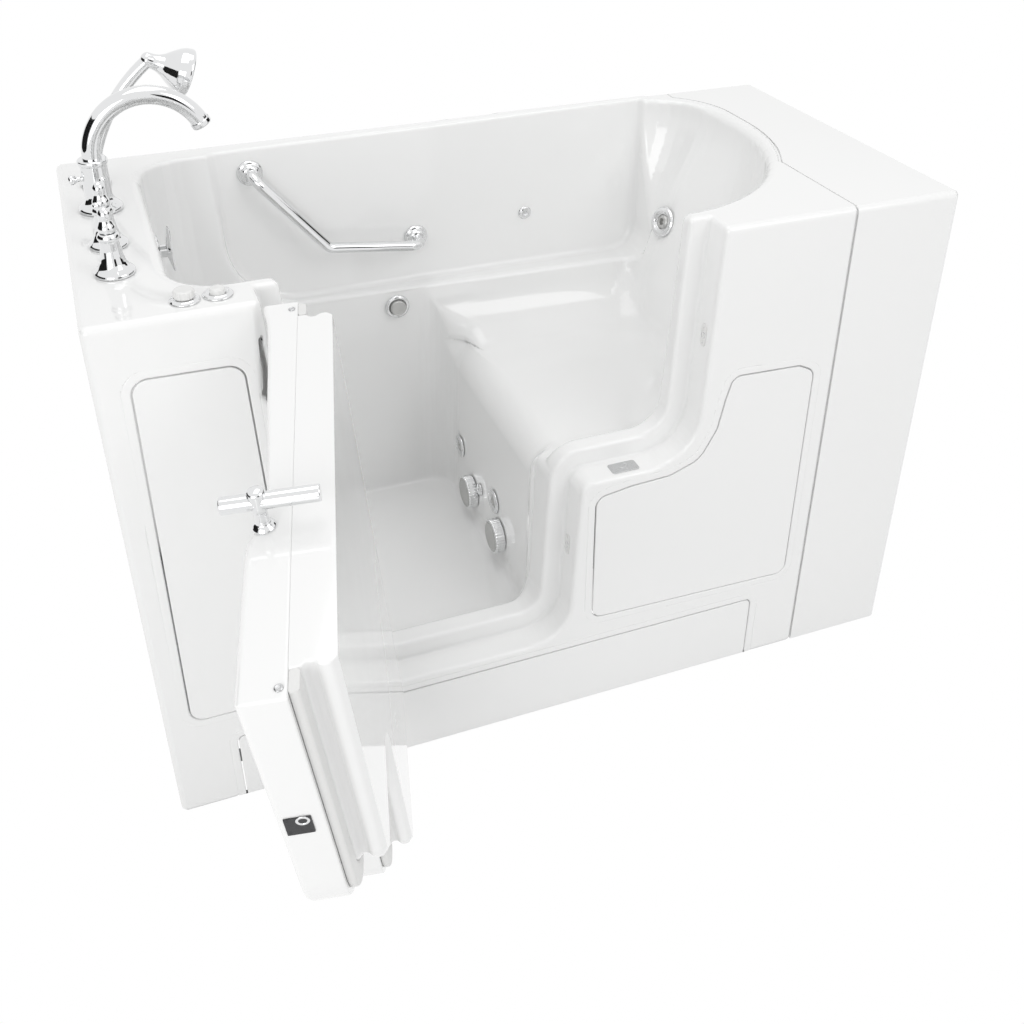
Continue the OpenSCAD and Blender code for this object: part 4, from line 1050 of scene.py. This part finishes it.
def dense_outline(inset):
    """The door's outline at an inset, with its points where those of the rolled edge's line are."""
    model, line = (outline(door_corners(TUB_HEIGHT), d, FACE_STEPS) for d in (DOOR_ROLL, inset))
    out = []
    for i in range(len(model)):
        j = (i + 1) % len(model)
        parts = max(1, math.ceil(np.linalg.norm(model[j] - model[i]) / EDGE_PITCH))
        out += [line[i] + (line[j] - line[i]) * k / parts for k in range(parts)]
    return np.array(out)


def make_door_shell():
    lines = edge_round(DOOR_ROLL, 8) + [
        (0, 20), (0, 30), (0, 40), (0, DOOR_SHELL - 3), (0.25, DOOR_SHELL - 1.2),
        (1.1, DOOR_SHELL - 0.3), (2.2, DOOR_SHELL)]
    rings = [upright(dense_outline(inset), y) for inset, y in lines]
    sides, side_faces = stacked(rings, capped=False)
    back = [tuple(range(len(sides) - len(rings[0]), len(sides)))]
    front, front_faces = face_mesh(dense_outline(DOOR_ROLL), 0, FACE_PITCH)
    shell = door_piece("door_face", (scooped(sides), side_faces + back), (scooped(front), front_faces))
    return dressed(shell, "gelcoat", "door", "door_outer_shell")


# Rim bead, gasket valley and inner face of the inner panel: inset and depth
PANEL_PROFILE = [(38, DOOR_SHELL), (38, 66), (44.5, 71), (44.5, 80), (38, 86), (38, 96), (47, DOOR_DEPTH)]


def make_door_inner():
    rings = [upright(outline(door_corners(TUB_HEIGHT + inset), inset), y)
             for inset, y in soften(PANEL_PROFILE, 6, False, 6)]
    inner = door_piece("door_lining", stacked(rings))
    return dressed(inner, "gelcoat", "door", "door_inner_panel")


# Inset and depth of the seal's lines
BEAD_PROFILE = [(9, DOOR_SHELL + 0.3), (8.2, 57), (8.2, 62), (10.5, 65.5), (37.6, 65.8),
                (37.6, DOOR_SHELL + 0.3)]
BEAD_TOP = TUB_HEIGHT - 0.4


def open_line(inset):
    """Down the hinge side, along the bottom and up the free side of the door."""
    full = outline(door_corners(TUB_HEIGHT + 300), inset)
    line = full[CORNER_STEPS + 1:-CORNER_STEPS - 1]

    def at_top(a, b):
        return a + (b - a) * (BEAD_TOP - a[1]) / (b[1] - a[1])
    return np.vstack([at_top(line[0], full[CORNER_STEPS]), line,
                      at_top(line[-1], full[-CORNER_STEPS - 1])])


def make_door_bead():
    rings = [upright(open_line(inset), y) for inset, y in soften(BEAD_PROFILE, 4, True, 5)]
    count = len(rings[0])
    ends = [tuple(k * count + end for k in range(len(rings))) for end in (0, count - 1)]
    faces = grid_faces(len(rings), count, True, False) + ends
    bead = door_piece("door_bead", (np.concatenate(rings), faces))
    dressed(bead, "seal_rubber", "door", "door_seal")
    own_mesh(bead)
    return bead


# ---------- fittings on the door ----------

LATCH_POST = (785, 22)
HANDLE_Z = TUB_HEIGHT + 40
HANDLE_HALF = 43
FREE_END_X = 1028.9
FREE_END_LEAN = 2.59
LATCH_HEIGHT = 778
SEAM_BUTTONS = (324, 1024)


def make_handle():
    post = shift(*LATCH_POST, 0)
    bar = post @ shift(0, -HANDLE_HALF, HANDLE_Z) @ turn_about(X, -90)
    handle = door_piece(
        "door_handle",
        lathe([(0, 705), (8, 705), (8, HANDLE_Z - 6), (0, HANDLE_Z - 6)], post),
        lathe([(0, 0), (14, 0), (14.2, 2), (11.5, 5.5), (8.6, 8), (8, 13), (0, 13)],
              post @ shift(0, 0, TUB_HEIGHT + 0.4), 1.4),
        lathe([(0, 0), (9.6, 0), (10.5, 1.6), (10.5, 113.4), (9.6, 115), (0, 115)], bar, 1.2),
        lathe([(0, -14), (9.6, -14), (11, -9), (11, 12), (9.8, 15.3), (6, 17.6), (0, 18.5)],
              post @ shift(0, 0, HANDLE_Z), 2.5))
    return dressed(handle, "chrome", "door_handle", "latch_handle")


def rounded_box(half, low, high, corner, inset, steps):
    """The outline of a rectangle with rounded corners."""
    corners = [(-half, low, corner), (half, low, corner), (half, high, corner), (-half, high, corner)]
    return outline(corners, inset, steps)


def plate(width, length, thick, corner, place):
    """A flat plate with rounded corners and eased edges, with its middle at the place's origin."""
    ease = min(0.35, thick / 2)
    lines = ((0, 0), (0, thick - ease), (0.3 * ease, thick - 0.3 * ease), (ease, thick))
    return put(stacked([level(rounded_box(width / 2, -length / 2, length / 2, corner, inset, 6), z)
                        for inset, z in lines]), place)


def screw(place, radius=1.9):
    """A small countersunk screw head with a dished middle."""
    return lathe([(0, -1), (radius, -1), (radius, 0.25), (radius * 0.7, 0.45), (radius * 0.35, 0.2),
                  (0, 0.2)], place, 0.15, 20)


def make_latch_plate():
    face = shift(FREE_END_X + 0.4, 24.5, LATCH_HEIGHT) @ turn_about(Y, 90 + FREE_END_LEAN)
    screws = [screw(face @ shift(x, y, 1.1)) for x in (-12.5, 12.5) for y in (-11.5, 11.5)]
    latch = door_piece("latch_plate_face", plate(33, 31, 1.2, 1.5, face), *screws)
    dressed(latch, "black_plastic", "door", "latch_plate")
    ring = [(4.9, 0), (8.2, 0), (8.2, 0.7), (7.2, 1.3), (5.8, 1.3), (4.9, 0.6)]
    ring = door_piece("latch_ring", lathe(ring, face @ shift(-9.5, 5.5, 0.8), 0.4, 40))
    dressed(ring, "chrome", "door")


def make_seam_buttons():
    profile = [(0, 0.2), (5, 0.2), (5, 1.2), (3.6, 2.2), (2.2, 1.7), (0, 1.7)]
    places = [shift(x, DOOR_SHELL - 9, TUB_HEIGHT) for x in SEAM_BUTTONS]
    buttons = door_piece("seam_caps", *[lathe(profile, place, 0.5, 32) for place in places])
    return dressed(buttons, "stainless", "door", "seam_buttons")


# ---------- fittings on the frame side ----------

STRIKE = (859, 914, 13.5, 44)           # left, right, front and back edge
LEDGE_BOLT = (889, 32)
UPPER_CATCH = (1033.1, 30, 788, -87.41)
LOWER_CATCH = (782.4, 40, 378, -86.96)


def make_strike():
    """Steel plate on the ledge with a curved lip towards the front."""
    x0, x1, y0, y1 = STRIKE
    lip = np.linspace((x0 + 3, y0, LEDGE_Z + 0.9), (x1 - 3, y0, LEDGE_Z + 0.9), 7)
    ring = [(6, 0), (9.5, 0), (9.5, 0.5), (8, 1.3), (6, 0.6)]
    parts = [plate(x1 - x0, y1 - y0, 1.2, 5, shift((x0 + x1) / 2, (y0 + y1) / 2, LEDGE_Z)),
             tube(lip, 0.9, 12), lathe(ring, shift(*LEDGE_BOLT, LEDGE_Z + 0.7), 0.4, 40)]
    parts += [screw(shift(x, 30, LEDGE_Z + 1.1), 2.6) for x in (x0 + 7, x1 - 7)]
    return dressed(joined("strike", *parts), "stainless", "bath", "strike_plate")


def make_catches():
    parts, cups = [], []
    for x, y, z, lean_back in (UPPER_CATCH, LOWER_CATCH):
        face = shift(x, y, z) @ turn_about(Y, lean_back)
        parts.append(plate(44, 18, 1.4, 8.9, face))
        cups.append(lathe([(4.6, 0), (6.8, 0), (6.8, 0.4), (6, 0.9), (4.6, 0.3)],
                          face @ shift(0, 0, 1.1), 0.3, 32))
        cups += [screw(face @ shift(s * 15, 0, 1.3)) for s in (-1, 1)]
    dressed(joined("catches", *parts), "white_plastic", "bath", "jamb_catches")
    dressed(joined("catch_rings", *cups), "chrome", "bath")


# ---------- grab bar ----------

GRAB_UPPER = (357, 954)
GRAB_BEND = (496, 787)
GRAB_LOWER = (697, 761)
GRAB_Y = 652
GRAB_RADIUS = 11
GRAB_TURN = 26
FLANGE = [(0, 0), (26, 0), (26.2, 4), (23.5, 7.4), (19.4, 8.6), (18.6, 12), (15.6, 15.6), (12.4, 17),
          (0, 17)]


def make_grab_bar():
    ends = [(at[0], back_wall_y(at[0]) - 9, at[1]) for at in (GRAB_UPPER, GRAB_LOWER)]
    middle = [(at[0], GRAB_Y, at[1]) for at in (GRAB_UPPER, GRAB_BEND, GRAB_LOWER)]
    path = bent([ends[0], *middle, ends[1]], GRAB_TURN)
    dressed(joined("grab_rail", tube(path, GRAB_RADIUS, 40)), "chrome", "bath", "grab_bar")
    flanges = [lathe(FLANGE, on_back_wall(at), 1.6) for at in (GRAB_UPPER, GRAB_LOWER)]
    dressed(joined("grab_flanges", *flanges), "chrome", "bath", "grab_bar_flanges")


# ---------- waste, overflow and jets ----------

DRAIN = (420, 430)
OVERFLOW = (636, 622)
OVERFLOW_WALL = 663.8
LEVER = (440, 920)
LEVER_PIVOT = 20
LEVER_WALL = 144.4
RISER_JETS = [(582, 280), (355, 275)]
RISER_AIR_JET = (445, 247)
SUCTIONS = [(492, 213), (316, 213)]
BACK_AIR_JET = (956, 775)


def make_drain():
    place = shift(*DRAIN, FLOOR_Z)
    flange = [(22, -38.8), (24, -38.8), (24, 0.3), (34, 0.3), (34, 1.5), (31, 3.5), (27, 4), (22, 1)]
    stopper = [(0, -18), (3, -18), (3, 2), (18, 4.5), (21, 5.5), (21, 7), (14, 9.5), (6, 10.5),
               (0, 10.7)]
    dressed(joined("waste_ring", lathe(flange, place, 0.9)), "chrome", "bath", "drain_flange")
    dressed(joined("waste_plug", lathe(stopper, place, 1.2)), "chrome", "stopper", "drain_stopper")


def make_overflow():
    place = facing_front(OVERFLOW, OVERFLOW_WALL)
    rim = [(18.4, -8), (18.4, 0), (27, 0), (27.2, 2.6), (25.2, 6), (21.6, 7.4), (18.4, 6.2)]
    disc = [(0, -30), (17.6, -30), (17.6, 12), (16.4, 14.6), (14.6, 15.2), (13.8, 14.5), (0, 15.3)]
    dressed(joined("overflow_rim", lathe(rim, place, 1.3)), "chrome", "bath", "overflow_cover")
    dressed(joined("overflow_disc", lathe(disc, place, 0.9)), "satin_nickel", "bath")


# Along the waste lever: place, half width, underside and top
PADDLE = [(-44, 5.2, 22.5, 25.5), (-42, 6.2, 21.6, 26.2), (-30, 6.8, 19.4, 26.6), (-8, 7.5, 16.6, 26.4),
          (8, 7.5, 16.6, 26.2), (24, 7.2, 20, 27), (35, 7, 22.6, 28), (38, 6, 23.6, 27.4)]


def make_waste_lever():
    face = facing_right(LEVER_WALL, LEVER)
    back_plate = [(0, -20), (11, -20), (11, 0), (31, 0), (31.2, 1.6), (28.4, 4.8), (20, 5.9), (0, 6.4)]
    cheek = [(-6, 4), (6, 4), (6, LEVER_PIVOT), (4.2, LEVER_PIVOT + 4.4), (0, LEVER_PIVOT + 6),
             (-4.2, LEVER_PIVOT + 4.4), (-6, LEVER_PIVOT)]
    line = np.array(soften(cheek, 1.5, True, 3))
    cheeks = [put(stacked([upright(line, y - 3), upright(line, y + 3)]), face) for y in (-11, 11)]
    dressed(joined("lever_plate", lathe(back_plate, face, 1.6), *cheeks), "chrome", "bath",
            "drain_lever_plate")
    body = []
    for x, half, low, high in PADDLE:
        ring = rounded_box(half, low, high, 2, 0, 5)
        body.append(np.column_stack([np.full(len(ring), float(x)), ring]))
    pin = lathe([(0, 0), (3, 0), (3, 32), (0, 32)],
                face @ shift(0, -16, LEVER_PIVOT) @ turn_about(X, -90), 0.4, 24)
    dressed(joined("lever_paddle", put(stacked(body), face), pin), "chrome", "waste_lever",
            "drain_lever")
    window = plate(20, 7.4, 0.5, 2.4, face @ shift(-27, 0, 26.4))
    dressed(joined("lever_window", window), "black_plastic", "waste_lever")


KNURLS = 36
KNURL_DEEP = 0.8
KNURL_ROWS = [(1.2, 36.7), (1.8, 37.2), (19.4, 37.2), (21.4, 36.5), (22.6, 35)]     # height and radius
SUCTION_BODY = [(0, -40), (19, -40), (19, 1), (35.2, 1), (35.2, 20.4), (33.6, 23.4), (30.4, 24.8),
                (28.6, 24.2), (28, 23.4), (0, 23.6)]


def wavy_ring(radius_at, z, count):
    """A ring whose radius changes with the angle."""
    return [(radius_at(a) * math.cos(a), radius_at(a) * math.sin(a), z) for a in circle(count)]


def make_suctions():
    rims, covers = [], []
    for at in SUCTIONS:
        place = facing_left(RISER_X + 0.9, at)
        covers.append(lathe(SUCTION_BODY, place, 1))
        rings = [wavy_ring(lambda a: radius + KNURL_DEEP * math.cos(KNURLS * a), z, KNURLS * 8)
                 for z, radius in KNURL_ROWS]
        rims.append(put(stacked(rings), place))
    dressed(joined("suction_faces", *covers), "satin_nickel", "bath", "suction_covers")
    dressed(joined("suction_rims", *rims), "chrome", "bath")


JET_RING = [(13, -22), (15.5, -22), (15.5, 0.6), (27, 0.6), (27.2, 2.6), (24.4, 5.4), (19.4, 6.2),
            (16.4, 4), (13.2, 2.6)]
NOZZLE = [(0, -14), (12, -14), (12.8, -6), (12.8, 2), (9.4, 4.6), (6.4, 4.9), (5.6, 3.4), (4, -4), (0, -4)]
AIR_JET = [(0, -30), (7, -30), (7, 0.5), (15, 0.5), (15.2, 1.8), (12.6, 4.6), (8.4, 6), (5.2, 6.2),
           (4.2, 5), (4, 1), (0, 1)]


def make_jets():
    places = [facing_left(RISER_X + 2, at) for at in RISER_JETS] + [on_head_wall()]
    dressed(joined("jet_trims", *[lathe(JET_RING, p, 1) for p in places]), "chrome", "bath", "jet_rings")
    bodies = ("upper_nozzle", "lower_nozzle", "headrest_nozzle")
    nodes = ("upper_riser_nozzle", "lower_riser_nozzle", "head_nozzle")
    for place, body, node in zip(places, bodies, nodes):
        dots = [lathe([(0, 0), (1.5, 0), (1.5, 0.5), (0, 0.8)], place @ shift(-6, s * 7, 4.6), 0.2, 16)
                for s in (-1, 1)]
        nozzle = joined(body + "_face", lathe(NOZZLE, place, 0.9), *dots)
        dressed(nozzle, "satin_nickel", body, node)
    air = [lathe(AIR_JET, place, 0.8, 48)
           for place in (facing_left(RISER_X + 1.5, RISER_AIR_JET), on_back_wall(BACK_AIR_JET))]
    dressed(joined("air_jet_caps", *air), "chrome", "bath", "air_jets")


# ---------- taps and controls on the deck ----------

SPOUT = (66, 465)
HOT = (66, 182)
COLD = (66, 297)
CRADLE = (66, 592)
AIR_KNOB = (154, 45)
AIR_BUTTON = (203, 48)
SPOUT_TOP = 91
SPOUT_ARC = 99
SPOUT_TIP = 27
SPOUT_TUBE = 16
CRADLE_TILT = 20
GRIP_ARC = 330
GRIP_SWEEP = 34
GRIP_RADIUS = 11.5
BELL = [(0, -30), (10.3, -30), (10.3, 0.4), (31, 0.4), (32, 2.6), (31.4, 6), (28, 9.4), (23.6, 13.6),
        (20.4, 20), (17.8, 29), (15.6, 42), (14.6, 55), (16.9, 58.6), (17.2, 62), (15.4, 66.2), (13.6, 68),
        (0, 68)]
HUB = [(0, 0), (12, 0), (14, 3.4), (13.8, 9), (11, 14.6), (9, 20), (10.2, 26), (9.4, 32.4), (6, 37.6),
       (2.4, 39.8), (0, 40)]
LEVER_KNOB = [(0, -6), (2.6, -5.4), (5.2, -3), (6, 0), (5.2, 3), (2.6, 5.4), (0, 6)]


def make_valves():
    for name, at in (("hot", HOT), ("cold", COLD)):
        body = joined(name + "_bell", lathe(BELL, standing(at), 2.2, 80))
        dressed(body, "chrome", "bath", name + "_valve")


def make_levers():
    reach = np.linspace(0, 1, 16)
    radii = 5 - 1.9 * np.sin(reach * math.pi / 2)
    arm = tube([(8 + 42 * t, 0, 15 + 9.5 * t ** 0.85) for t in reach], radii, 24)
    for name, at, angle in (("hot", HOT, 100), ("cold", COLD, 80)):
        place = standing(at, TUB_HEIGHT + 68.3) @ turn_about(Z, angle)
        lever = joined(name + "_handle_lever", lathe(HUB, place, 2.4),
                       lathe(LEVER_KNOB, place @ shift(50, 0, 24.5), 2, 40), put(arm, place))
        dressed(lever, "chrome", name + "_handle", name + "_lever")


def make_spout():
    place = standing(SPOUT)
    body = [(0, -30), (10.3, -30), (10.3, 0.4), (36, 0.4), (38, 2.8), (37.4, 7), (33, 11.4), (27.4, 16),
            (24.2, 21.6), (23, 29), (23, 82), (25.5, 84), (25.5, 90), (23, 92), (0, 92)]
    bow = [(x, 0, z) for x, z in arc((SPOUT_ARC, SPOUT_TOP), (SPOUT_ARC, SPOUT_ARC), 180, SPOUT_TIP, 59)]
    tip = place @ shift(*bow[-1]) @ turn_about(Y, 180 - SPOUT_TIP)
    mouth = [(11, -2), (18, -2), (18.2, 5.6), (17, 8), (12.4, 8), (11, 6.6)]
    parts = [lathe(body, place, 2.4, 80), put(tube(bow, SPOUT_TUBE, 48), place), lathe(mouth, tip, 1.2)]
    dressed(joined("filler_spout", *parts), "chrome", "bath", "spout")
    knob = [(0, 10), (4.5, 10), (4.5, 31), (7.4, 34.2), (9, 38), (8.4, 41.8), (5.4, 44.4), (0, 45)]
    side = standing(SPOUT, TUB_HEIGHT + 58) @ turn_about(Y, -90)
    dressed(joined("diverter_pull_knob", lathe(knob, side, 1.8, 48)), "chrome", "diverter",
            "diverter_knob")


def make_hand_shower():
    leaning = standing(CRADLE, TUB_HEIGHT + 34) @ turn_about(Y, CRADLE_TILT)
    foot = [(0, -30), (10.3, -30), (10.3, 0.4), (27, 0.4), (28, 2.6), (27.4, 6.4), (22, 10.4), (16.6, 15),
            (14.4, 20), (14, 26), (0, 26)]
    cup = [(0, -8), (12, -8), (16.6, -4), (18, 5), (19, 21), (18, 22), (16.5, 22), (14.2, 5), (0, 5)]
    dressed(joined("handset_cradle", lathe(foot, standing(CRADLE), 2.2), lathe(cup, leaning, 1.2)),
            "chrome", "bath", "shower_cradle")
    path = [(x, 0, z) for x, z in arc((GRIP_ARC, 28), (-GRIP_ARC, GRIP_ARC), 0, GRIP_SWEEP, 39)]
    head = leaning @ shift(*path[-1]) @ turn_about(Y, GRIP_SWEEP + 60)
    ferrule = [(0, 0), (12, 0), (13.6, 5), (13.6, 20), (12.4, 25), (11.4, 26), (0, 26)]
    neck = [(0, -14), (5.4, -12.9), (9.9, -9.9), (12.9, -5.4), (13.2, 0), (13.4, 8), (15, 16), (20, 26),
            (25.6, 33), (31.4, 41), (37.4, 50), (41.4, 59), (43, 69), (42.4, 72.4), (40.4, 74), (0, 74)]
    parts = [lathe(ferrule, leaning @ shift(0, 0, 4.5), 1), put(tube(path, GRIP_RADIUS, 40), leaning),
             lathe(neck, head, 2.4, 80)]
    dressed(joined("handset", *parts), "chrome", "shower_handset", "hand_shower")


KNOB_RIBS = 12
# Along the air knob: height, radius and depth of its grooves
KNOB_ROWS = [(-12, 11.6, 0), (4, 11.6, 0), (7, 15.4, 0.3), (8, 15.6, 1), (16, 15.6, 1), (17.6, 14.6, 0.5),
             (18.7, 13, 0), (19, 11, 0)]


def make_controls():
    flange = [(12, -16), (13.6, -16), (13.6, 0.4), (23, 0.4), (23.2, 1.8), (20.6, 4.6), (17.4, 6), (15, 4.4),
              (12, 3)]
    rings = [lathe(flange, standing(at), 1) for at in (AIR_KNOB, AIR_BUTTON)]
    dressed(joined("control_rings", *rings), "chrome", "bath", "control_flanges")
    rows = [wavy_ring(lambda a: r - dip * max(0, math.cos(KNOB_RIBS * a)) ** 3, z, KNOB_RIBS * 8)
            for z, r, dip in KNOB_ROWS]
    dressed(joined("air_knob_cap", put(stacked(rows), standing(AIR_KNOB))), "white_plastic",
            "air_knob", "air_control_knob")
    button = [(0, -8), (11.6, -8), (11.6, 10), (10.2, 12.4), (6, 13.6), (0, 14)]
    dressed(joined("air_button_cap", lathe(button, standing(AIR_BUTTON), 1.6)), "white_plastic",
            "blower_button", "air_button")


def build():
    make_shell()
    rim_path = make_rim_edge()[1]
    make_extension(rim_path)
    make_panels()
    make_door_shell()
    make_door_inner()
    make_door_bead()
    make_handle()
    make_latch_plate()
    make_seam_buttons()
    make_strike()
    make_catches()
    make_grab_bar()
    make_drain()
    make_overflow()
    make_waste_lever()
    make_suctions()
    make_jets()
    make_valves()
    make_levers()
    make_spout()
    make_hand_shower()
    make_controls()
    dress_cad()


# ---------- floor and flags ----------

FLOOR_HALF = 12                 # metres
FLAGS = {                       # middle, turn about z and size of each dark flag, in metres
    "left_flag": ((-2.7, 0.2, 1.5), 90, (3.4, 1.5)),
    "right_flag": ((3.4, 0.2, 1.3), 90, (3.4, 1.4)),
    "front_flag": ((0.9, -4.4, 1.9), 0, (1.5, 1.9)),
}


def sheet(name, half_width, half_depth, half_height, material):
    """A flat sheet about the origin, from half its sizes in metres. It stands up if it has a
    height, and lies down if it has a depth."""
    points = [(across * half_width, up * half_depth, up * half_height)
              for across, up in ((-1, -1), (1, -1), (1, 1), (-1, 1))]
    thing = new_object(name, np.array(points) / MM + ORIGIN, [(0, 1, 2, 3)])
    thing.data.materials.append(material)
    return thing


def make_floor():
    """A white floor that camera and mirror rays see as plain white."""
    material = bpy.data.materials.new("floor")
    tree = cleared(material)
    plain = new_node(tree, "BsdfDiffuse", {"Color": (0.8, 0.8, 0.8, 1)})
    glow = new_node(tree, "Emission", {"Color": WHITE})
    split_by_ray(tree, ("Is Camera Ray", "Is Glossy Ray"), glow, plain, "OutputMaterial")
    floor = sheet("floor", FLOOR_HALF, FLOOR_HALF, 0, material)


def make_flags():
    """Dark flags beside the set. Only mirror rays see them, and they give the chrome its bands."""
    material = bpy.data.materials.new("flag")
    tree = cleared(material)
    dark = new_node(tree, "BsdfDiffuse", {"Color": (0.02, 0.02, 0.02, 1)})
    new_node(tree, "OutputMaterial", {0: dark.outputs[0]})
    for name, (middle, turn, (wide, tall)) in FLAGS.items():
        flag = sheet(name, wide / 2, 0, tall / 2, material)
        flag.location = middle
        flag.rotation_euler = (0, 0, math.radians(turn))
        flag.visible_camera = False
        flag.visible_diffuse = False
        flag.visible_transmission = False
        flag.visible_shadow = False


make_camera()
make_world()
make_lamps()
make_floor()
make_flags()
build()
bpy.context.scene.view_settings.view_transform = "Standard"
